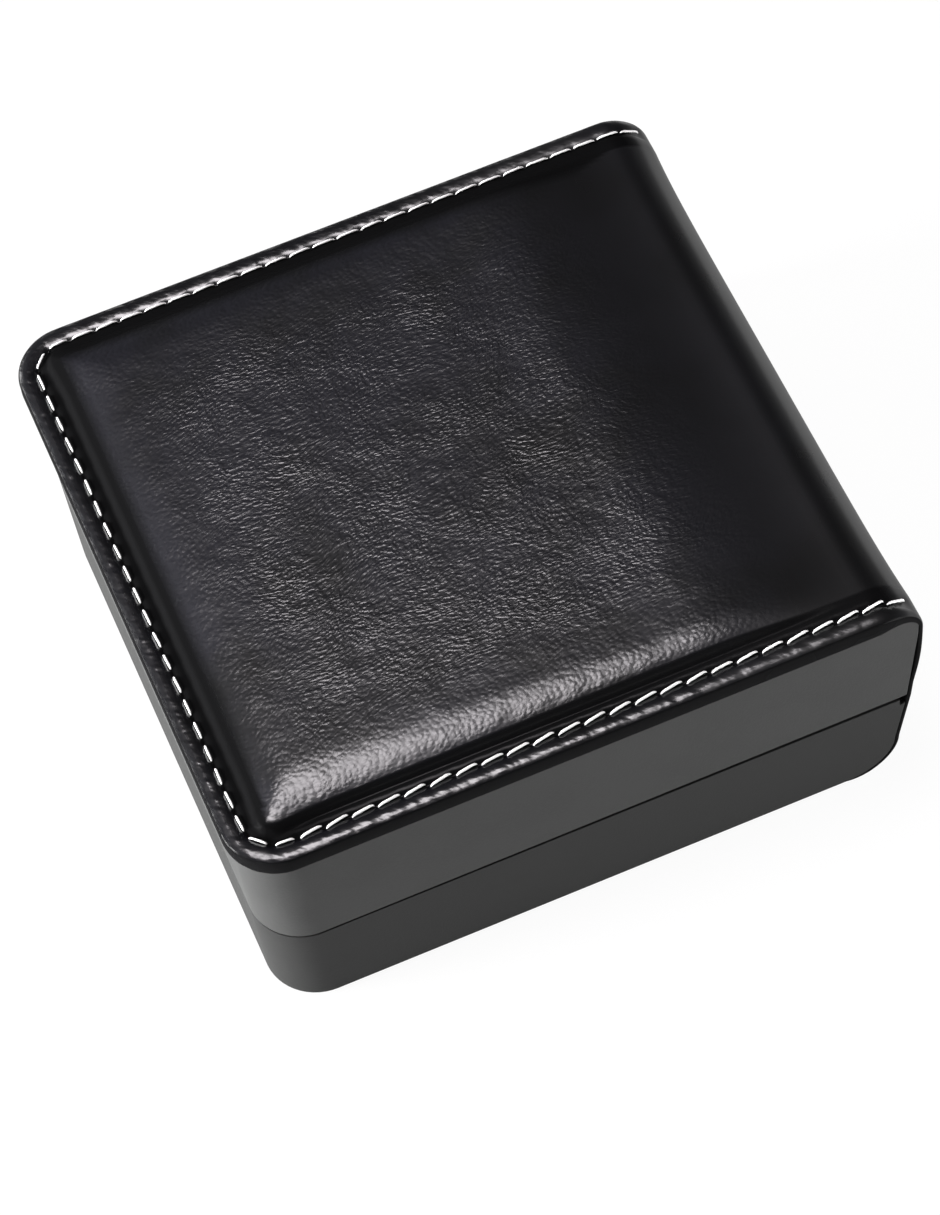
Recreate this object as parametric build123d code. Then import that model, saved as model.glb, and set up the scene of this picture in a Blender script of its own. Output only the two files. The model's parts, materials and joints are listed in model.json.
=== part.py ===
"""Padded leather watch box: a shallow base and a deeper lid on a leather spine with two snap hinges.

Millimetres, +Z up, origin at the centre of the footprint on the table. The spine is at +Y, the
opening edge at -Y. Every body wall is drawn from three outlines: the stitched rim, the walls that
taper in towards the table, and the rear profile that leans in and rolls under.
"""
from build123d import *
import os
from math import cos, pi, radians, sin

# Overall size of the closed box
case_width = 105.6
case_depth = 110.0
parting_height = 20.4
wall_top = 43.3
rim_thickness = 4.5
crown_rise = 3.0

# Outlines of the rim and walls
corner_radius = 8.8
wall_corner_radius = 8.6
rim_overhang = 1.2
wall_taper = 1.2
rim_top_round = 1.9
least_corner_radius = 1.5
parting_gap = 0.3

# Rear profile, from the top down
spine_roll_radius = 8.0
panel_roll_radius = 2.5
lean_drop = 1.5
lid_lean = 1.6
base_lean = 1.8
bottom_roll_radius = 9.0

# Material thicknesses
leather = 0.8
wrap = 0.8
shell_wall = 2.2
hinge_seat_wall = 3.2
lining = 0.6
tray_wall = 1.2
table_reveal = 0.3
fit_gap = 0.3

# Padded top
flap_width = 6.0
pad_inset = 5.6
pad_slope_run = 9.0
pad_spine_run = 24.0
crown_corner_radius = 4.3
crown_steps = 4
spine_leather_bulk = 3.2

# Stitching on three sides of the rim
stitch_inset = 3.3
stitch_pitch = 4.18
stitch_length = 3.6
thread_radius = 0.3
stitch_roll_angle = 48.0

# Spine fold, the strip that bends
fold_half_height = 4.0

# Hinges
lid_opening = 100.0
hinge_end_inset = 20.8
hinge_width = 16.0
hinge_pin_radius = 0.45
hinge_bore_radius = 0.5
hinge_knuckle_radius = 1.0
hinge_knuckle_gap = 0.1
hinge_leaf_thickness = 0.5
hinge_leaf_height = 5.2
hinge_recess_gap = 0.15
hinge_window_margin = 0.7
screw_spacing = 10.0
screw_row_drop = 3.1
screw_shank_radius = 0.6
screw_head_radius = 1.1
screw_head_height = 0.6
screw_depth = 1.8
spring_width = 4.0
spring_thickness = 0.3

# Inside: tray, pillow and lid pad
deck_drop = 6.2
pillow_length = 76.0
pillow_breadth = 54.0
pillow_height = 23.0
pillow_crown_radius = 8.5
pillow_low_radius = 3.0
pillow_corner_radius = 9.0
pillow_gap = 1.0
pillow_cover = 0.9
pad_board_thickness = 1.2
lid_pad_thickness = 3.0
lid_pad_margin = 0.6
lid_pad_round = 1.4

# Values worked out from the sizes above
half_width = case_width / 2
half_depth = case_depth / 2
rim_top = wall_top + rim_thickness
board_top = rim_top - leather
base_top = parting_height - parting_gap / 2
lid_low = parting_height + parting_gap / 2
spine_at_parting = half_depth - lid_lean
spine_at_bottom = spine_at_parting - base_lean
lean_top = rim_top - spine_roll_radius - lean_drop
bottom_roll_y = spine_at_bottom - bottom_roll_radius
floor_top = leather + shell_wall
seat_y = spine_at_parting - leather - hinge_seat_wall
hinge_offset = half_width - hinge_end_inset
axis_y = spine_at_parting - leather - hinge_knuckle_radius - hinge_knuckle_gap
fold_low = parting_height - fold_half_height
fold_high = parting_height + fold_half_height
deck_top = parting_height - deck_drop
lid_ceiling = wall_top - shell_wall
pillow_low = floor_top + lining + tray_wall
rear_reach = hinge_knuckle_radius + hinge_knuckle_gap
hinge_relief_radius = rear_reach / cos(radians(lid_opening / 2)) + hinge_recess_gap
knuckle_length = hinge_width / 3
far = case_depth * 2


def outline(half_x, front_y, radius, z):
    """Plan outline with two rounded front corners, running straight back past the spine."""
    back = far
    left = -half_x
    turn = radius * (1 - cos(pi / 4))
    edges = Line((left, back), (left, front_y + radius))
    edges += ThreePointArc(
        (left, front_y + radius), (left + turn, front_y + turn), (left + radius, front_y)
    )
    edges += Line((left + radius, front_y), (half_x - radius, front_y))
    edges += ThreePointArc(
        (half_x - radius, front_y), (half_x - turn, front_y + turn), (half_x, front_y + radius)
    )
    edges += Line((half_x, front_y + radius), (half_x, back))
    edges += Line((half_x, back), (left, back))
    return Pos(0, 0, z) * make_face(edges)


def wall_inset(z):
    """How far the tapering wall stands inside the rim's outline at height z."""
    return rim_overhang + wall_taper * (1 - z / wall_top)


def wall_block(skin, z_low, z_high):
    """Solid inside the tapering walls, moved inwards by a skin thickness, between two heights."""
    faces = []
    for z in (z_low, z_high):
        inset = wall_inset(z) + skin
        faces.append(outline(half_width - inset, inset - half_depth, wall_corner_radius - skin, z))
    return loft(faces, ruled=True)


def rim_block(inset, z_low, z_high):
    """Upright solid inside the rim's outline, moved inwards by an inset, between two heights."""
    radius = max(corner_radius - inset, least_corner_radius)
    face = outline(half_width - inset, inset - half_depth, radius, z_low)
    return extrude(face, z_high - z_low)


def rear_block(skin, top, roll_radius):
    """Everything in front of the rear surface and between bottom and top, inside a skin thickness."""
    roll = roll_radius - skin
    under = bottom_roll_radius - skin
    top_y = half_depth - skin
    low_y = spine_at_bottom - skin
    part_y = spine_at_parting - skin
    roll_y = half_depth - roll_radius
    roll_z = top - roll_radius
    edges = Line((-far, skin), (bottom_roll_y, skin))
    edges += ThreePointArc(
        (bottom_roll_y, skin),
        (bottom_roll_y + under * cos(pi / 4), bottom_roll_radius - under * cos(pi / 4)),
        (low_y, bottom_roll_radius),
    )
    edges += Line((low_y, bottom_roll_radius), (part_y, parting_height))
    edges += Line((part_y, parting_height), (top_y, lean_top))
    if roll_z > lean_top:
        edges += Line((top_y, lean_top), (top_y, roll_z))
    edges += ThreePointArc(
        (top_y, roll_z),
        (roll_y + roll * cos(pi / 4), roll_z + roll * cos(pi / 4)),
        (roll_y, top - skin),
    )
    edges += Line((roll_y, top - skin), (-far, top - skin))
    edges += Line((-far, top - skin), (-far, skin))
    return extrude(Plane.YZ * make_face(edges), far, both=True)


def leather_side(skin):
    """Space in front of the spine leather's surface, inside a skin thickness."""
    return rear_block(skin, rim_top, spine_roll_radius)


def panel_side(rise):
    """Space below the rim's underside, whose rear corner is rounded; rise lifts that surface."""
    return rear_block(leather - rise, wall_top + leather, panel_roll_radius + leather)


def box_between(x_range, y_range, z_range):
    """Box from its limits along each axis."""
    size = [high - low for low, high in (x_range, y_range, z_range)]
    middle = [(high + low) / 2 for low, high in (x_range, y_range, z_range)]
    return Pos(*middle) * Box(*size)


def rod_along_x(radius, x_low, x_high, y, z):
    """Round rod along the hinge line."""
    return Pos((x_low + x_high) / 2, y, z) * Rot(0, 90, 0) * Cylinder(radius, x_high - x_low)


def hinge_relief():
    """Space behind the axis in the base, where the lid's rear corner swings down."""
    rod = rod_along_x(hinge_relief_radius, -far, far, axis_y, parting_height)
    behind = box_between((-far, far), (axis_y - hinge_knuckle_gap, far), (0, parting_height))
    return rod & behind


def rear_seat(skin):
    """Space in front of the flat inner face that the hinge leaves sit on."""
    return box_between((-far, far), (-far, seat_y - skin), (0, rim_top))


def hollow(skin, z_low, z_high):
    """Room inside the walls of base or lid, moved inwards by a skin thickness."""
    room = wall_block(wrap + shell_wall + skin, z_low, z_high)
    return room & rear_seat(skin)


def tub(skin, z_low, z_high):
    """Room inside the base, whose rear floor edge is rounded like the outside."""
    room = hollow(skin, z_low, z_high)
    edge = room.edges().filter_by(Axis.X).group_by(Axis.Z)[0].sort_by(Axis.Y)[-1]
    return fillet(edge, bottom_roll_radius - leather - shell_wall - skin)


def hinge_middles():
    """X of the middle of each hinge, left then right."""
    return (-hinge_offset, hinge_offset)


def hinge_recess(side):
    """Slots in a rear wall's edge for both hinges' webs and knuckles; side is -1 base, +1 lid."""
    reach = hinge_width / 2 + hinge_recess_gap
    depth = side * (hinge_leaf_thickness + hinge_recess_gap + hinge_knuckle_gap)
    radius = hinge_knuckle_radius + hinge_recess_gap
    slots = []
    for middle in hinge_middles():
        ends = (middle - reach, middle + reach)
        z_range = sorted((parting_height, parting_height + depth))
        slots.append(box_between(ends, (seat_y - shell_wall, axis_y), z_range))
        slots.append(rod_along_x(radius, *ends, axis_y, parting_height))
    return slots


def screw_places(side):
    """X and Z of the hinge screws in base (-1) or lid (+1)."""
    z = parting_height + side * screw_row_drop
    places = []
    for middle in hinge_middles():
        for step in (-0.5, 0.5):
            places.append((middle + step * screw_spacing, z))
    return places


def rod_along_y(radius, y_low, y_high, x, z):
    """Round rod square to the rear wall."""
    return Pos(x, (y_low + y_high) / 2, z) * Rot(90, 0, 0) * Cylinder(radius, y_high - y_low)


def screw_holes(side, radius):
    """Rods that cut the screws' holes."""
    holes = []
    for x, z in screw_places(side):
        holes.append(rod_along_y(radius, seat_y - lining - shell_wall, seat_y + screw_depth, x, z))
    return holes


def side_wrap(z_low, z_high):
    """Leatherette round the three outer walls, between two heights."""
    skin = wall_block(0, z_low, z_high) - wall_block(wrap, z_low, z_high)
    return skin & panel_side(0)


def base_shell():
    """Moulded tub with floor, walls, the rear wall's hinge slots and screw holes."""
    body = wall_block(wrap, leather, base_top) & panel_side(0)
    body -= tub(0, floor_top, case_depth)
    body -= hinge_relief()
    for cut in hinge_recess(-1) + screw_holes(-1, screw_shank_radius):
        body -= cut
    return body


def base_side_wrap():
    """Charcoal leatherette on the base's three walls."""
    return side_wrap(table_reveal, base_top) - hinge_relief()


def base_bottom_cover():
    """Leatherette sheet under the floor, which the box rests on."""
    sheet = wall_block(wrap, 0, leather)
    return sheet & box_between((-far, far), (-far, bottom_roll_y), (0, leather))


def spine_skin(z_low, z_high):
    """Spine leather between two heights, as wide as the walls."""
    skin = wall_block(0, z_low, z_high) & leather_side(0)
    skin -= leather_side(leather)
    return skin & box_between((-far, far), (bottom_roll_y, far), (0, rim_top))


def base_lining():
    """Velvet tub on the floor and inner walls, open round the hinge leaves."""
    top = base_top - fit_gap
    body = tub(0, floor_top, top) - tub(lining, floor_top + lining, case_depth)
    return body - hinge_windows(-1)


def hinge_windows(side):
    """Openings in a lining round the hinge leaves; side is -1 base, +1 lid."""
    reach = hinge_width / 2 + hinge_window_margin
    height = hinge_leaf_height + hinge_window_margin
    z_range = sorted((parting_height, parting_height + side * height))
    openings = []
    for middle in hinge_middles():
        ends = (middle - reach, middle + reach)
        openings.append(box_between(ends, (seat_y - shell_wall, axis_y), z_range))
    return openings


def insert_tray():
    """Flocked tray: a flat deck with an outer skirt and a well for the pillow."""
    low = floor_top + lining
    outer = tub(lining + fit_gap, low, deck_top)
    under = tub(lining + fit_gap + tray_wall, low, deck_top - tray_wall)
    under -= well_prism(tray_wall, low, deck_top)
    return outer - under - well_prism(0, pillow_low, deck_top)


def well_prism(skin, z_low, z_high):
    """Upright prism of the pillow's well, grown outwards by a skin thickness, between two heights."""
    length = pillow_length + 2 * (pillow_gap + skin)
    breadth = pillow_breadth + 2 * (pillow_gap + skin)
    face = RectangleRounded(length, breadth, pillow_corner_radius + pillow_gap + skin)
    return Pos(0, 0, z_low) * extrude(face, z_high - z_low)


def pillow_body(skin):
    """Pillow with a rounded crown and drawn-in ends, inside a skin thickness."""
    height = pillow_height - 2 * skin
    face = RectangleRounded(
        pillow_length - 2 * skin, pillow_breadth - 2 * skin, pillow_corner_radius - skin
    )
    body = extrude(face, height)
    body = fillet(body.edges().group_by(Axis.Z)[-1], pillow_crown_radius - skin)
    body = fillet(body.edges().group_by(Axis.Z)[0], pillow_low_radius - skin)
    return Pos(0, 0, pillow_low + skin) * body


def hinge_leaf(middle, side):
    """One L-shaped hinge leaf with its knuckles; side is -1 base, +1 lid."""
    z_near = parting_height + side * 2 * hinge_knuckle_gap
    z_web = z_near + side * hinge_leaf_thickness
    z_end = z_near + side * hinge_leaf_height
    plate_y = seat_y - hinge_leaf_thickness
    ends = (middle - hinge_width / 2, middle + hinge_width / 2)
    web_end = axis_y - hinge_knuckle_radius - hinge_knuckle_gap
    leaf = box_between(ends, (plate_y, seat_y), sorted((z_near, z_end)))
    leaf += box_between(ends, (plate_y, web_end), sorted((z_near, z_web)))
    root_y = axis_y - (hinge_knuckle_radius + hinge_bore_radius) / 2
    for start, stop in knuckle_spans(side):
        span = (middle + start, middle + stop)
        leaf += box_between(span, (plate_y, root_y), sorted((z_near, z_web)))
        leaf += rod_along_x(hinge_knuckle_radius, *span, axis_y, parting_height)
    leaf -= rod_along_x(hinge_bore_radius, *ends, axis_y, parting_height)
    for hole in screw_holes(side, screw_shank_radius + hinge_knuckle_gap):
        leaf -= hole
    return leaf


def knuckle_spans(side):
    """Start and end of each knuckle from the hinge's middle; the lid has the middle one."""
    half = knuckle_length / 2
    if side > 0:
        return ((-half + hinge_knuckle_gap, half - hinge_knuckle_gap),)
    return ((-hinge_width / 2, -half), (half, hinge_width / 2))


def hinge_pin(middle):
    """Steel pin through the knuckles."""
    half = hinge_width / 2
    return rod_along_x(hinge_pin_radius, middle - half, middle + half, axis_y, parting_height)


def hinge_spring(middle):
    """Flat steel spring on the base leaf, bent over its web towards the lid's knuckle."""
    span = (middle - spring_width / 2, middle + spring_width / 2)
    plate_y = seat_y - hinge_leaf_thickness
    web_z = parting_height - 2 * hinge_knuckle_gap
    tip_y = axis_y - hinge_knuckle_radius - hinge_recess_gap
    top = web_z + spring_thickness
    strip = box_between(span, (plate_y - spring_thickness, plate_y), (web_z - hinge_leaf_height, top))
    return strip + box_between(span, (plate_y, tip_y), (web_z, top))


def hinge_screws(side):
    """Four round-headed screws as separate solids."""
    screws = []
    plate_y = seat_y - hinge_leaf_thickness
    for x, z in screw_places(side):
        head = rod_along_y(screw_head_radius, plate_y - screw_head_height, plate_y, x, z)
        head = fillet(head.edges().group_by(Axis.Y)[0], screw_head_height / 2)
        shank = rod_along_y(screw_shank_radius, plate_y, seat_y + screw_depth, x, z)
        screws.append(head + shank)
    return screws


def lid_shell():
    """Moulded lid with a raised centre that fills the window in the turned-under leather."""
    body = wall_block(wrap, lid_low, wall_top) & panel_side(0)
    body += window_boss()
    body -= hollow(0, 0, lid_ceiling)
    for cut in hinge_recess(1) + screw_holes(1, screw_shank_radius):
        body -= cut
    return body


def window_boss():
    """Raised centre of the lid, as thick as the leather that is turned under the board."""
    front = flap_width - half_depth
    board_rear = half_depth - spine_roll_radius
    width = 2 * (half_width - flap_width)
    middle_y = (front + board_rear) / 2
    face = Pos(0, middle_y, wall_top) * RectangleRounded(width, board_rear - front, rim_top_round)
    return extrude(face, leather)


def under_leather():
    """Space between the top leather and the lid, which board and roll padding share."""
    space = rim_block(leather, lean_top, board_top) & leather_side(leather)
    space -= panel_side(leather)
    return space & box_between((-far, far), (-far, half_depth - spine_leather_bulk), (0, rim_top))


def lid_top_board():
    """Fibre board of the top panel, wider than the walls."""
    rear = half_depth - spine_roll_radius
    return under_leather() & box_between((-far, far), (-far, rear), (wall_top, rim_top))


def spine_roll_padding():
    """Foam strip behind the board, under the rolled rear edge."""
    rear = half_depth - spine_roll_radius
    return under_leather() & box_between((-far, far), (rear, far), (0, rim_top))


def padded_crown(drop):
    """Crowned middle of the top, lowered by a drop; it rises steeply, then levels out."""
    rear = half_depth - spine_roll_radius
    faces = []
    for index in range(crown_steps + 1):
        step = index / crown_steps
        turn = step * pi / 2
        inset = pad_inset + pad_slope_run * (1 - cos(turn))
        front_y = inset - half_depth
        back_y = rear - step * pad_spine_run
        rise = crown_rise * sin(turn)
        face = RectangleRounded(2 * (half_width - inset), back_y - front_y, crown_corner_radius)
        faces.append(Pos(0, (front_y + back_y) / 2, rim_top - drop + rise) * face)
    return loft(faces, ruled=True)


def lid_leather_cover():
    """Black leather over crown, rim and spine roll, turned under the board."""
    rim = rim_block(0, lean_top, rim_top)
    rim = fillet(rim.edges().group_by(Axis.Z)[-1].sort_by(Axis.Y)[:-1], rim_top_round)
    rim &= leather_side(0)
    rim -= panel_side(0)
    cover = rim + spine_skin(fold_high, lean_top)
    cover += padded_crown(0)
    cover -= under_leather()
    cover -= padded_crown(leather)
    return cover - window_boss()


def stitch_frame(distance):
    """Place on the stitch line at a distance from the middle of the front edge, as a Plane."""
    line_x = half_width - stitch_inset
    turn_radius = corner_radius - stitch_inset
    front_y = stitch_inset - half_depth
    side = 1 if distance > 0 else -1
    left = abs(distance)
    roll_y = half_depth - spine_roll_radius
    front_run = line_x - turn_radius
    corner_run = turn_radius * pi / 2
    side_run = roll_y - front_y - turn_radius
    if left < front_run:
        return Plane((side * left, front_y, rim_top), x_dir=(side, 0, 0))
    left -= front_run
    if left < corner_run:
        turn = left / turn_radius
        across = front_run + turn_radius * cos(pi / 2 - turn)
        along = front_y + turn_radius * (1 - cos(turn))
        heading = (side * cos(turn), cos(pi / 2 - turn), 0)
        return Plane((side * across, along, rim_top), x_dir=heading)
    left -= corner_run
    if left < side_run:
        return Plane((side * line_x, front_y + turn_radius + left, rim_top), x_dir=(0, 1, 0))
    tilt = (left - side_run) / spine_roll_radius
    rise = spine_roll_radius * (cos(tilt) - 1)
    back = roll_y + spine_roll_radius * cos(pi / 2 - tilt)
    middle = (side * line_x, back, rim_top + rise)
    heading = (0, cos(tilt), -cos(pi / 2 - tilt))
    return Plane(middle, x_dir=heading, z_dir=(0, cos(pi / 2 - tilt), cos(tilt)))


def lid_stitching():
    """Short thread solids along three sides of the rim, ending on the spine roll."""
    line_x = half_width - stitch_inset
    turn_radius = corner_radius - stitch_inset
    sides = case_depth - stitch_inset - turn_radius - spine_roll_radius
    reach = line_x - turn_radius + turn_radius * pi / 2 + sides
    reach += spine_roll_radius * radians(stitch_roll_angle)
    count = round(2 * reach / stitch_pitch)
    pitch = 2 * reach / count
    rod_length = stitch_length - 2 * thread_radius
    stitch = Rot(0, 90, 0) * Cylinder(thread_radius, rod_length)
    stitch += Pos(rod_length / 2, 0, 0) * Sphere(thread_radius)
    stitch += Pos(-rod_length / 2, 0, 0) * Sphere(thread_radius)
    stitches = []
    for index in range(count):
        frame = stitch_frame((index + 0.5) * pitch - reach)
        stitches.append(frame.location * stitch)
    return stitches


def lid_lining():
    """Velvet on the lid's inner walls and ceiling, open round the hinge leaves."""
    low = lid_low + fit_gap
    body = hollow(0, low, lid_ceiling) - hollow(lining, 0, lid_ceiling - lining)
    return body - hinge_windows(1)


def lid_pad_board():
    """Board that carries the lid's inner pad."""
    top = lid_ceiling - lining
    return hollow(lining + lid_pad_margin, top - pad_board_thickness, top)


def lid_lining_pad():
    """Soft pad inside the lid, rounded towards the watch."""
    top = lid_ceiling - lining - pad_board_thickness
    pad = hollow(lining + lid_pad_margin, top - lid_pad_thickness, top)
    return fillet(pad.edges().group_by(Axis.Z)[0], lid_pad_round)


def write_node(name, shape):
    """Write one node's STEP file; a list of solids becomes one group."""
    if isinstance(shape, (list, tuple)):
        shape = Compound(children=list(shape))
    shape.label = name
    export_step(shape, f"parts/{name}.step")


def main():
    """Build every piece and write it."""
    os.makedirs("parts", exist_ok=True)
    write_node("base_shell", base_shell())
    write_node("base_side_wrap", base_side_wrap())
    write_node("base_bottom_cover", base_bottom_cover())
    write_node("base_back_leather", spine_skin(0, fold_low))
    write_node("base_lining", base_lining())
    write_node("insert_tray", insert_tray())
    write_node("watch_pillow_cover", pillow_body(0) - pillow_body(pillow_cover))
    write_node("watch_pillow_foam", pillow_body(pillow_cover))
    write_node("spine_fold", spine_skin(fold_low, fold_high))
    for label, middle in zip(("left", "right"), hinge_middles()):
        write_node(f"hinge_base_leaf_{label}", hinge_leaf(middle, -1))
        write_node(f"hinge_lid_leaf_{label}", hinge_leaf(middle, 1))
        write_node(f"hinge_pin_{label}", hinge_pin(middle))
        write_node(f"hinge_spring_{label}", hinge_spring(middle))
    write_node("hinge_base_screws", hinge_screws(-1))
    write_node("hinge_lid_screws", hinge_screws(1))
    write_node("lid_shell", lid_shell())
    write_node("lid_side_wrap", side_wrap(lid_low, wall_top))
    write_node("lid_top_board", lid_top_board())
    write_node("spine_roll_padding", spine_roll_padding())
    write_node("lid_foam_pad", padded_crown(leather))
    write_node("lid_leather_cover", lid_leather_cover())
    write_node("lid_stitching", lid_stitching())
    write_node("lid_lining", lid_lining())
    write_node("lid_pad_board", lid_pad_board())
    write_node("lid_lining_pad", lid_lining_pad())


main()
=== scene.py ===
"""Looks of the padded leather watch box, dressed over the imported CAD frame.

Every length is written in millimetres and turned into metres where a mesh is made. The lid's spine is
at +Y and its opening edge at -Y. Soft pieces replace their plain CAD solids; rigid pieces keep their
CAD shape or get its edges eased.
"""

import json
import logging
import math
from contextlib import contextmanager
from dataclasses import dataclass, field
from enum import Enum
from typing import Callable, Iterable, Iterator, Sequence

import bpy
import numpy as np
from mathutils import Matrix, Vector


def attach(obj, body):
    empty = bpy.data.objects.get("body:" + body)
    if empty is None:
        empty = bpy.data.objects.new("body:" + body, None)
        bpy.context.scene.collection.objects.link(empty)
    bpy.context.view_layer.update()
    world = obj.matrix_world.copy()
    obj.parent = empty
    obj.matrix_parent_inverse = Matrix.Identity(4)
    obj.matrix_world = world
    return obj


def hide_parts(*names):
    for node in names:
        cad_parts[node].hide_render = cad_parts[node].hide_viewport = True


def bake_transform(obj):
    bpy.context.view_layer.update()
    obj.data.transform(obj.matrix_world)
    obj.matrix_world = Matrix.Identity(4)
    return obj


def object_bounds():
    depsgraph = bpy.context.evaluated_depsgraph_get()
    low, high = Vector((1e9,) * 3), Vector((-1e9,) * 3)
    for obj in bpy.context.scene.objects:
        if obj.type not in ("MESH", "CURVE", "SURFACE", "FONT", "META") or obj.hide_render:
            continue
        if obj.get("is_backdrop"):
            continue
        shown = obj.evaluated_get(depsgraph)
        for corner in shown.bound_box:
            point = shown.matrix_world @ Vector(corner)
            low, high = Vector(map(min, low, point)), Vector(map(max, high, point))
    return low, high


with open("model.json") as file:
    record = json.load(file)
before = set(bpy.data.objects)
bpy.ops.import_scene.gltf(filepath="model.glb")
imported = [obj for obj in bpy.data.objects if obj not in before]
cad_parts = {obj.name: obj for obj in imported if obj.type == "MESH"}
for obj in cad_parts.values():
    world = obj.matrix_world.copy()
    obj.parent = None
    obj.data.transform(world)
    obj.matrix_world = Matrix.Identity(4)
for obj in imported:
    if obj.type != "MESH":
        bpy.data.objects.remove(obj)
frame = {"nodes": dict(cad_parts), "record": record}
cad_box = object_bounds()

log = logging.getLogger("watch_box")

MM = 0.001

# Copies of CAD nodes, in millimetres and degrees: points nearer than MERGE become one, faces within
# FLAT_ANGLE join, edges past SHARP_ANGLE are eased, and the parting's edge counts as lifted within
# PARTING_REACH of its height and behind LIFTED_FROM
MERGE = 0.004
FLAT_ANGLE = 0.5
SHARP_ANGLE = 40.0
PARTING_REACH = 0.6
LIFTED_FROM = 40.0

Colour = tuple[float, float, float]
Point = tuple[float, float, float]


class Body(Enum):
    """The two rigid bodies of the record."""

    BASE = "base"
    LID = "lid"


@dataclass(frozen=True)
class BoxSizes:
    """Driving sizes of the CAD model, in millimetres."""

    half_width: float = 52.8
    half_depth: float = 55.0
    corner: float = 8.8
    parting: float = 20.4
    wall_top: float = 43.3
    rim_top: float = 47.8
    rim_overhang: float = 1.2
    wall_taper: float = 1.2
    roll: float = 8.0
    lean_top: float = 38.3
    spine_at_parting: float = 53.4
    spine_at_bottom: float = 51.6
    bottom_roll: float = 9.0
    fold_low: float = 16.4
    fold_high: float = 24.4
    leather: float = 0.8

    def wall_inset(self, z: np.ndarray) -> np.ndarray:
        """How far the tapering wall stands inside the rim's outline at a height."""
        return self.rim_overhang + self.wall_taper * (1 - z / self.wall_top)


SIZES = BoxSizes()


# Shader expressions


def operator(operation: str, reflected: bool = False) -> Callable[["Socket", object], "Socket"]:
    """An operator method that adds the Math node of an operation; a reflected one swaps the operands."""

    def apply(self: "Socket", other: object) -> "Socket":
        """Add the node."""
        first, second = (other, self) if reflected else (self, other)
        return self.tree.node("ShaderNodeMath", {"operation": operation}, {0: first, 1: second})

    return apply


class Socket:
    """A node output that takes part in Python expressions; each operator adds its Math node."""

    def __init__(self, tree: "FinishTree", output: bpy.types.NodeSocket) -> None:
        """Wrap one output of a node in the finish's tree."""
        self.tree = tree
        self.output = output

    __add__ = operator("ADD")
    __radd__ = operator("ADD", reflected=True)
    __sub__ = operator("SUBTRACT")
    __rsub__ = operator("SUBTRACT", reflected=True)
    __mul__ = operator("MULTIPLY")


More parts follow.
